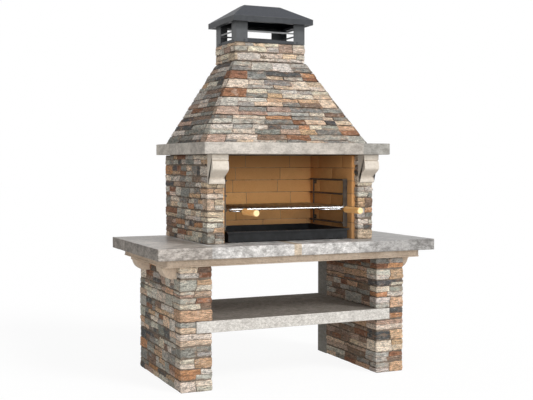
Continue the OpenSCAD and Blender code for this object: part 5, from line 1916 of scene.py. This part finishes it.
@dataclass
class Ironware:
    """The chimney cap, racks, tray, grill, forks and handles."""

    effects: Effects
    painted_roof_shade_from: float = 1.8465

    def build(self) -> None:
        """Dresses the steel and builds the wood."""
        # The cap's roof slopes above the fascia darker: painted shade.
        roof = {"painted_shade_from": self.painted_roof_shade_from, "top": paint(30, 35, 45)}
        for name, base, second, rough, others, nodes in (
                ("cap paint", (60, 62, 65), (68, 70, 73), 0.45, {"shine": 0.2, **roof},
                 "cap_base_frame cap_soffit cap_roof cap_screws"),
                # The posts take a lighter copy of the cap's paint: painted light.
                ("post paint with painted light", (80, 82, 84), (90, 92, 94), 0.42, {"shine": 0.24},
                 "cap_post_front_left cap_post_front_right cap_post_rear_left cap_post_rear_right"),
                # The bars take a lighter copy of the cap's paint: painted highlight.
                ("bar paint with painted highlight", (122, 123, 124), (132, 133, 134), 0.4, {"shine": 0.3}, "cap_bars"),
                ("screw steel", (150, 150, 148), (130, 130, 128), 0.4, {"metallic": 1.0}, "rack_screws"),
                ("rack steel", (104, 98, 91), (82, 76, 70), 0.5, {"metallic": 0.4}, "rack_left rack_right"),
                ("tray enamel", (40, 41, 43), (30, 31, 32), 0.34, {"shine": 0.24}, "charcoal_tray"),
                ("grill chrome", (206, 208, 210), (190, 192, 194), 0.2, {"metallic": 1.0},
                 "grill_frame fork_left fork_right"),
                ("grill wire", (186, 184, 180), (146, 142, 136), 0.3, {"metallic": 1.0},
                 "grill_wires grill_cross_rods"),
                ("collar brass", (196, 150, 88), (176, 130, 72), 0.35, {"metallic": 0.9}, "handle_ferrules")):
            finish = CoatedSteelFinish(name, paint(*base), paint(*second), rough, **others)
            dress(finish.material(self.effects), nodes)
        wood = TurnedWoodFinish().material(self.effects)
        for side in ("left", "right"):
            TurnedHandle(f"handle_{side}").build(wood)


@dataclass(frozen=True)
class Lamp:
    """A sun: its strength, its height and way in degrees, how wide it looks, and whether gloss shows it."""

    name: str
    strength: float
    elevation: float
    azimuth: float
    width: float
    glossy: bool

    def build(self, scene: bpy.types.Scene) -> None:
        """Puts the lamp in the scene.

        Args:
            scene: The scene.
        """
        data = bpy.data.lights.new(self.name, "SUN")
        data.energy, data.angle = self.strength, math.radians(self.width)
        lamp = bpy.data.objects.new(self.name, data)
        lamp.rotation_euler = (math.radians(90 - self.elevation), 0, math.radians(self.azimuth))
        lamp.visible_glossy = self.glossy
        scene.collection.objects.link(lamp)


@dataclass(frozen=True)
class Studio:
    """The floor, the lamps, the world and the camera at the photograph's angle."""

    camera_at: tuple[float, float, float] = (-2.0408, -4.4704, 1.0930)
    camera_pitch: float = 2.297
    camera_turn: float = 24.112
    lens: float = 63.49
    sensor: float = 36.0
    key: Lamp = Lamp("key", 1.7, 36.0, 30.0, 20.0, True)
    fill: Lamp = Lamp("fill", 1.15, 9.0, -13.0, 22.0, False)
    sky_strength: float = 0.44
    floor_lift: float = 0.9
    floor_reach: float = 40.0

    def build(self) -> None:
        """Makes everything that isn't part of the object: a soft key from the right front, and a low fill."""
        scene = bpy.context.scene
        scene.view_settings.view_transform = "Standard"
        self.camera(scene)
        self.key.build(scene)
        self.fill.build(scene)
        self.world(scene)
        self.floor(scene)

    def camera(self, scene: bpy.types.Scene) -> None:
        """Places the camera.

        Args:
            scene: The scene.
        """
        data = bpy.data.cameras.new("camera")
        data.lens, data.sensor_width = self.lens, self.sensor
        camera = bpy.data.objects.new("camera", data)
        camera.location = self.camera_at
        camera.rotation_euler = (math.radians(90 - self.camera_pitch), 0, math.radians(-self.camera_turn))
        scene.collection.objects.link(camera)
        scene.camera = camera

    @staticmethod
    def white_rays(sketch: Sketch) -> Socket:
        """1 for camera, glossy and transmission rays, else 0.

        Args:
            sketch: Adds the nodes.

        Returns:
            The mask.
        """
        rays = sketch.put("ShaderNodeLightPath").outputs
        seen = sketch.math("MAXIMUM", rays["Is Camera Ray"], rays["Is Glossy Ray"])
        return sketch.math("MAXIMUM", seen, rays["Is Transmission Ray"])

    def world(self, scene: bpy.types.Scene) -> None:
        """Makes an even pale sky, which looks white where it is seen.

        Args:
            scene: The scene.
        """
        world = bpy.data.worlds.new("studio")
        world.use_nodes = True
        scene.world = world
        sketch = Sketch(world.node_tree)
        back = world.node_tree.nodes["Background"].inputs
        back["Color"].default_value = WHITE
        lift = sketch.times(self.white_rays(sketch), 1.0 - self.sky_strength)
        sketch.feed(back["Strength"], sketch.plus(lift, self.sky_strength))

    def floor(self, scene: bpy.types.Scene) -> None:
        """Makes a pale floor that looks white where it is lit and keeps the object's shadow.

        Args:
            scene: The scene.
        """
        far = self.floor_reach
        mesh = bpy.data.meshes.new("floor")
        mesh.from_pydata([(-far, -far, 0), (far, -far, 0), (far, far, 0), (-far, far, 0)], [], [(0, 1, 2, 3)])
        floor = bpy.data.objects.new("floor", mesh)
        scene.collection.objects.link(floor)
        material = bpy.data.materials.new("floor")
        material.use_nodes = True
        sketch = Sketch(material.node_tree)
        shader = material.node_tree.nodes["Principled BSDF"].inputs
        seen = self.white_rays(sketch)
        for socket, value in {"Roughness": 1.0, "Specular IOR Level": 0.0, "Emission Color": WHITE,
                              "Base Color": sketch.blend(seen, paint(236, 235, 232), paint(98, 98, 98)),
                              "Emission Strength": sketch.times(seen, self.floor_lift)}.items():
            sketch.feed(shader[socket], value)
        mesh.materials.append(material)


def main() -> None:
    """Builds the studio, the masonry and the ironware."""
    logging.basicConfig(level=logging.INFO, format="%(name)s: %(message)s")
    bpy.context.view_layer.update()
    Studio().build()
    effects = Effects()
    masonry = Masonry(effects)
    masonry.stones()
    masonry.slabs()
    masonry.lining()
    Ironware(effects).build()


if __name__ == "__main__":
    main()
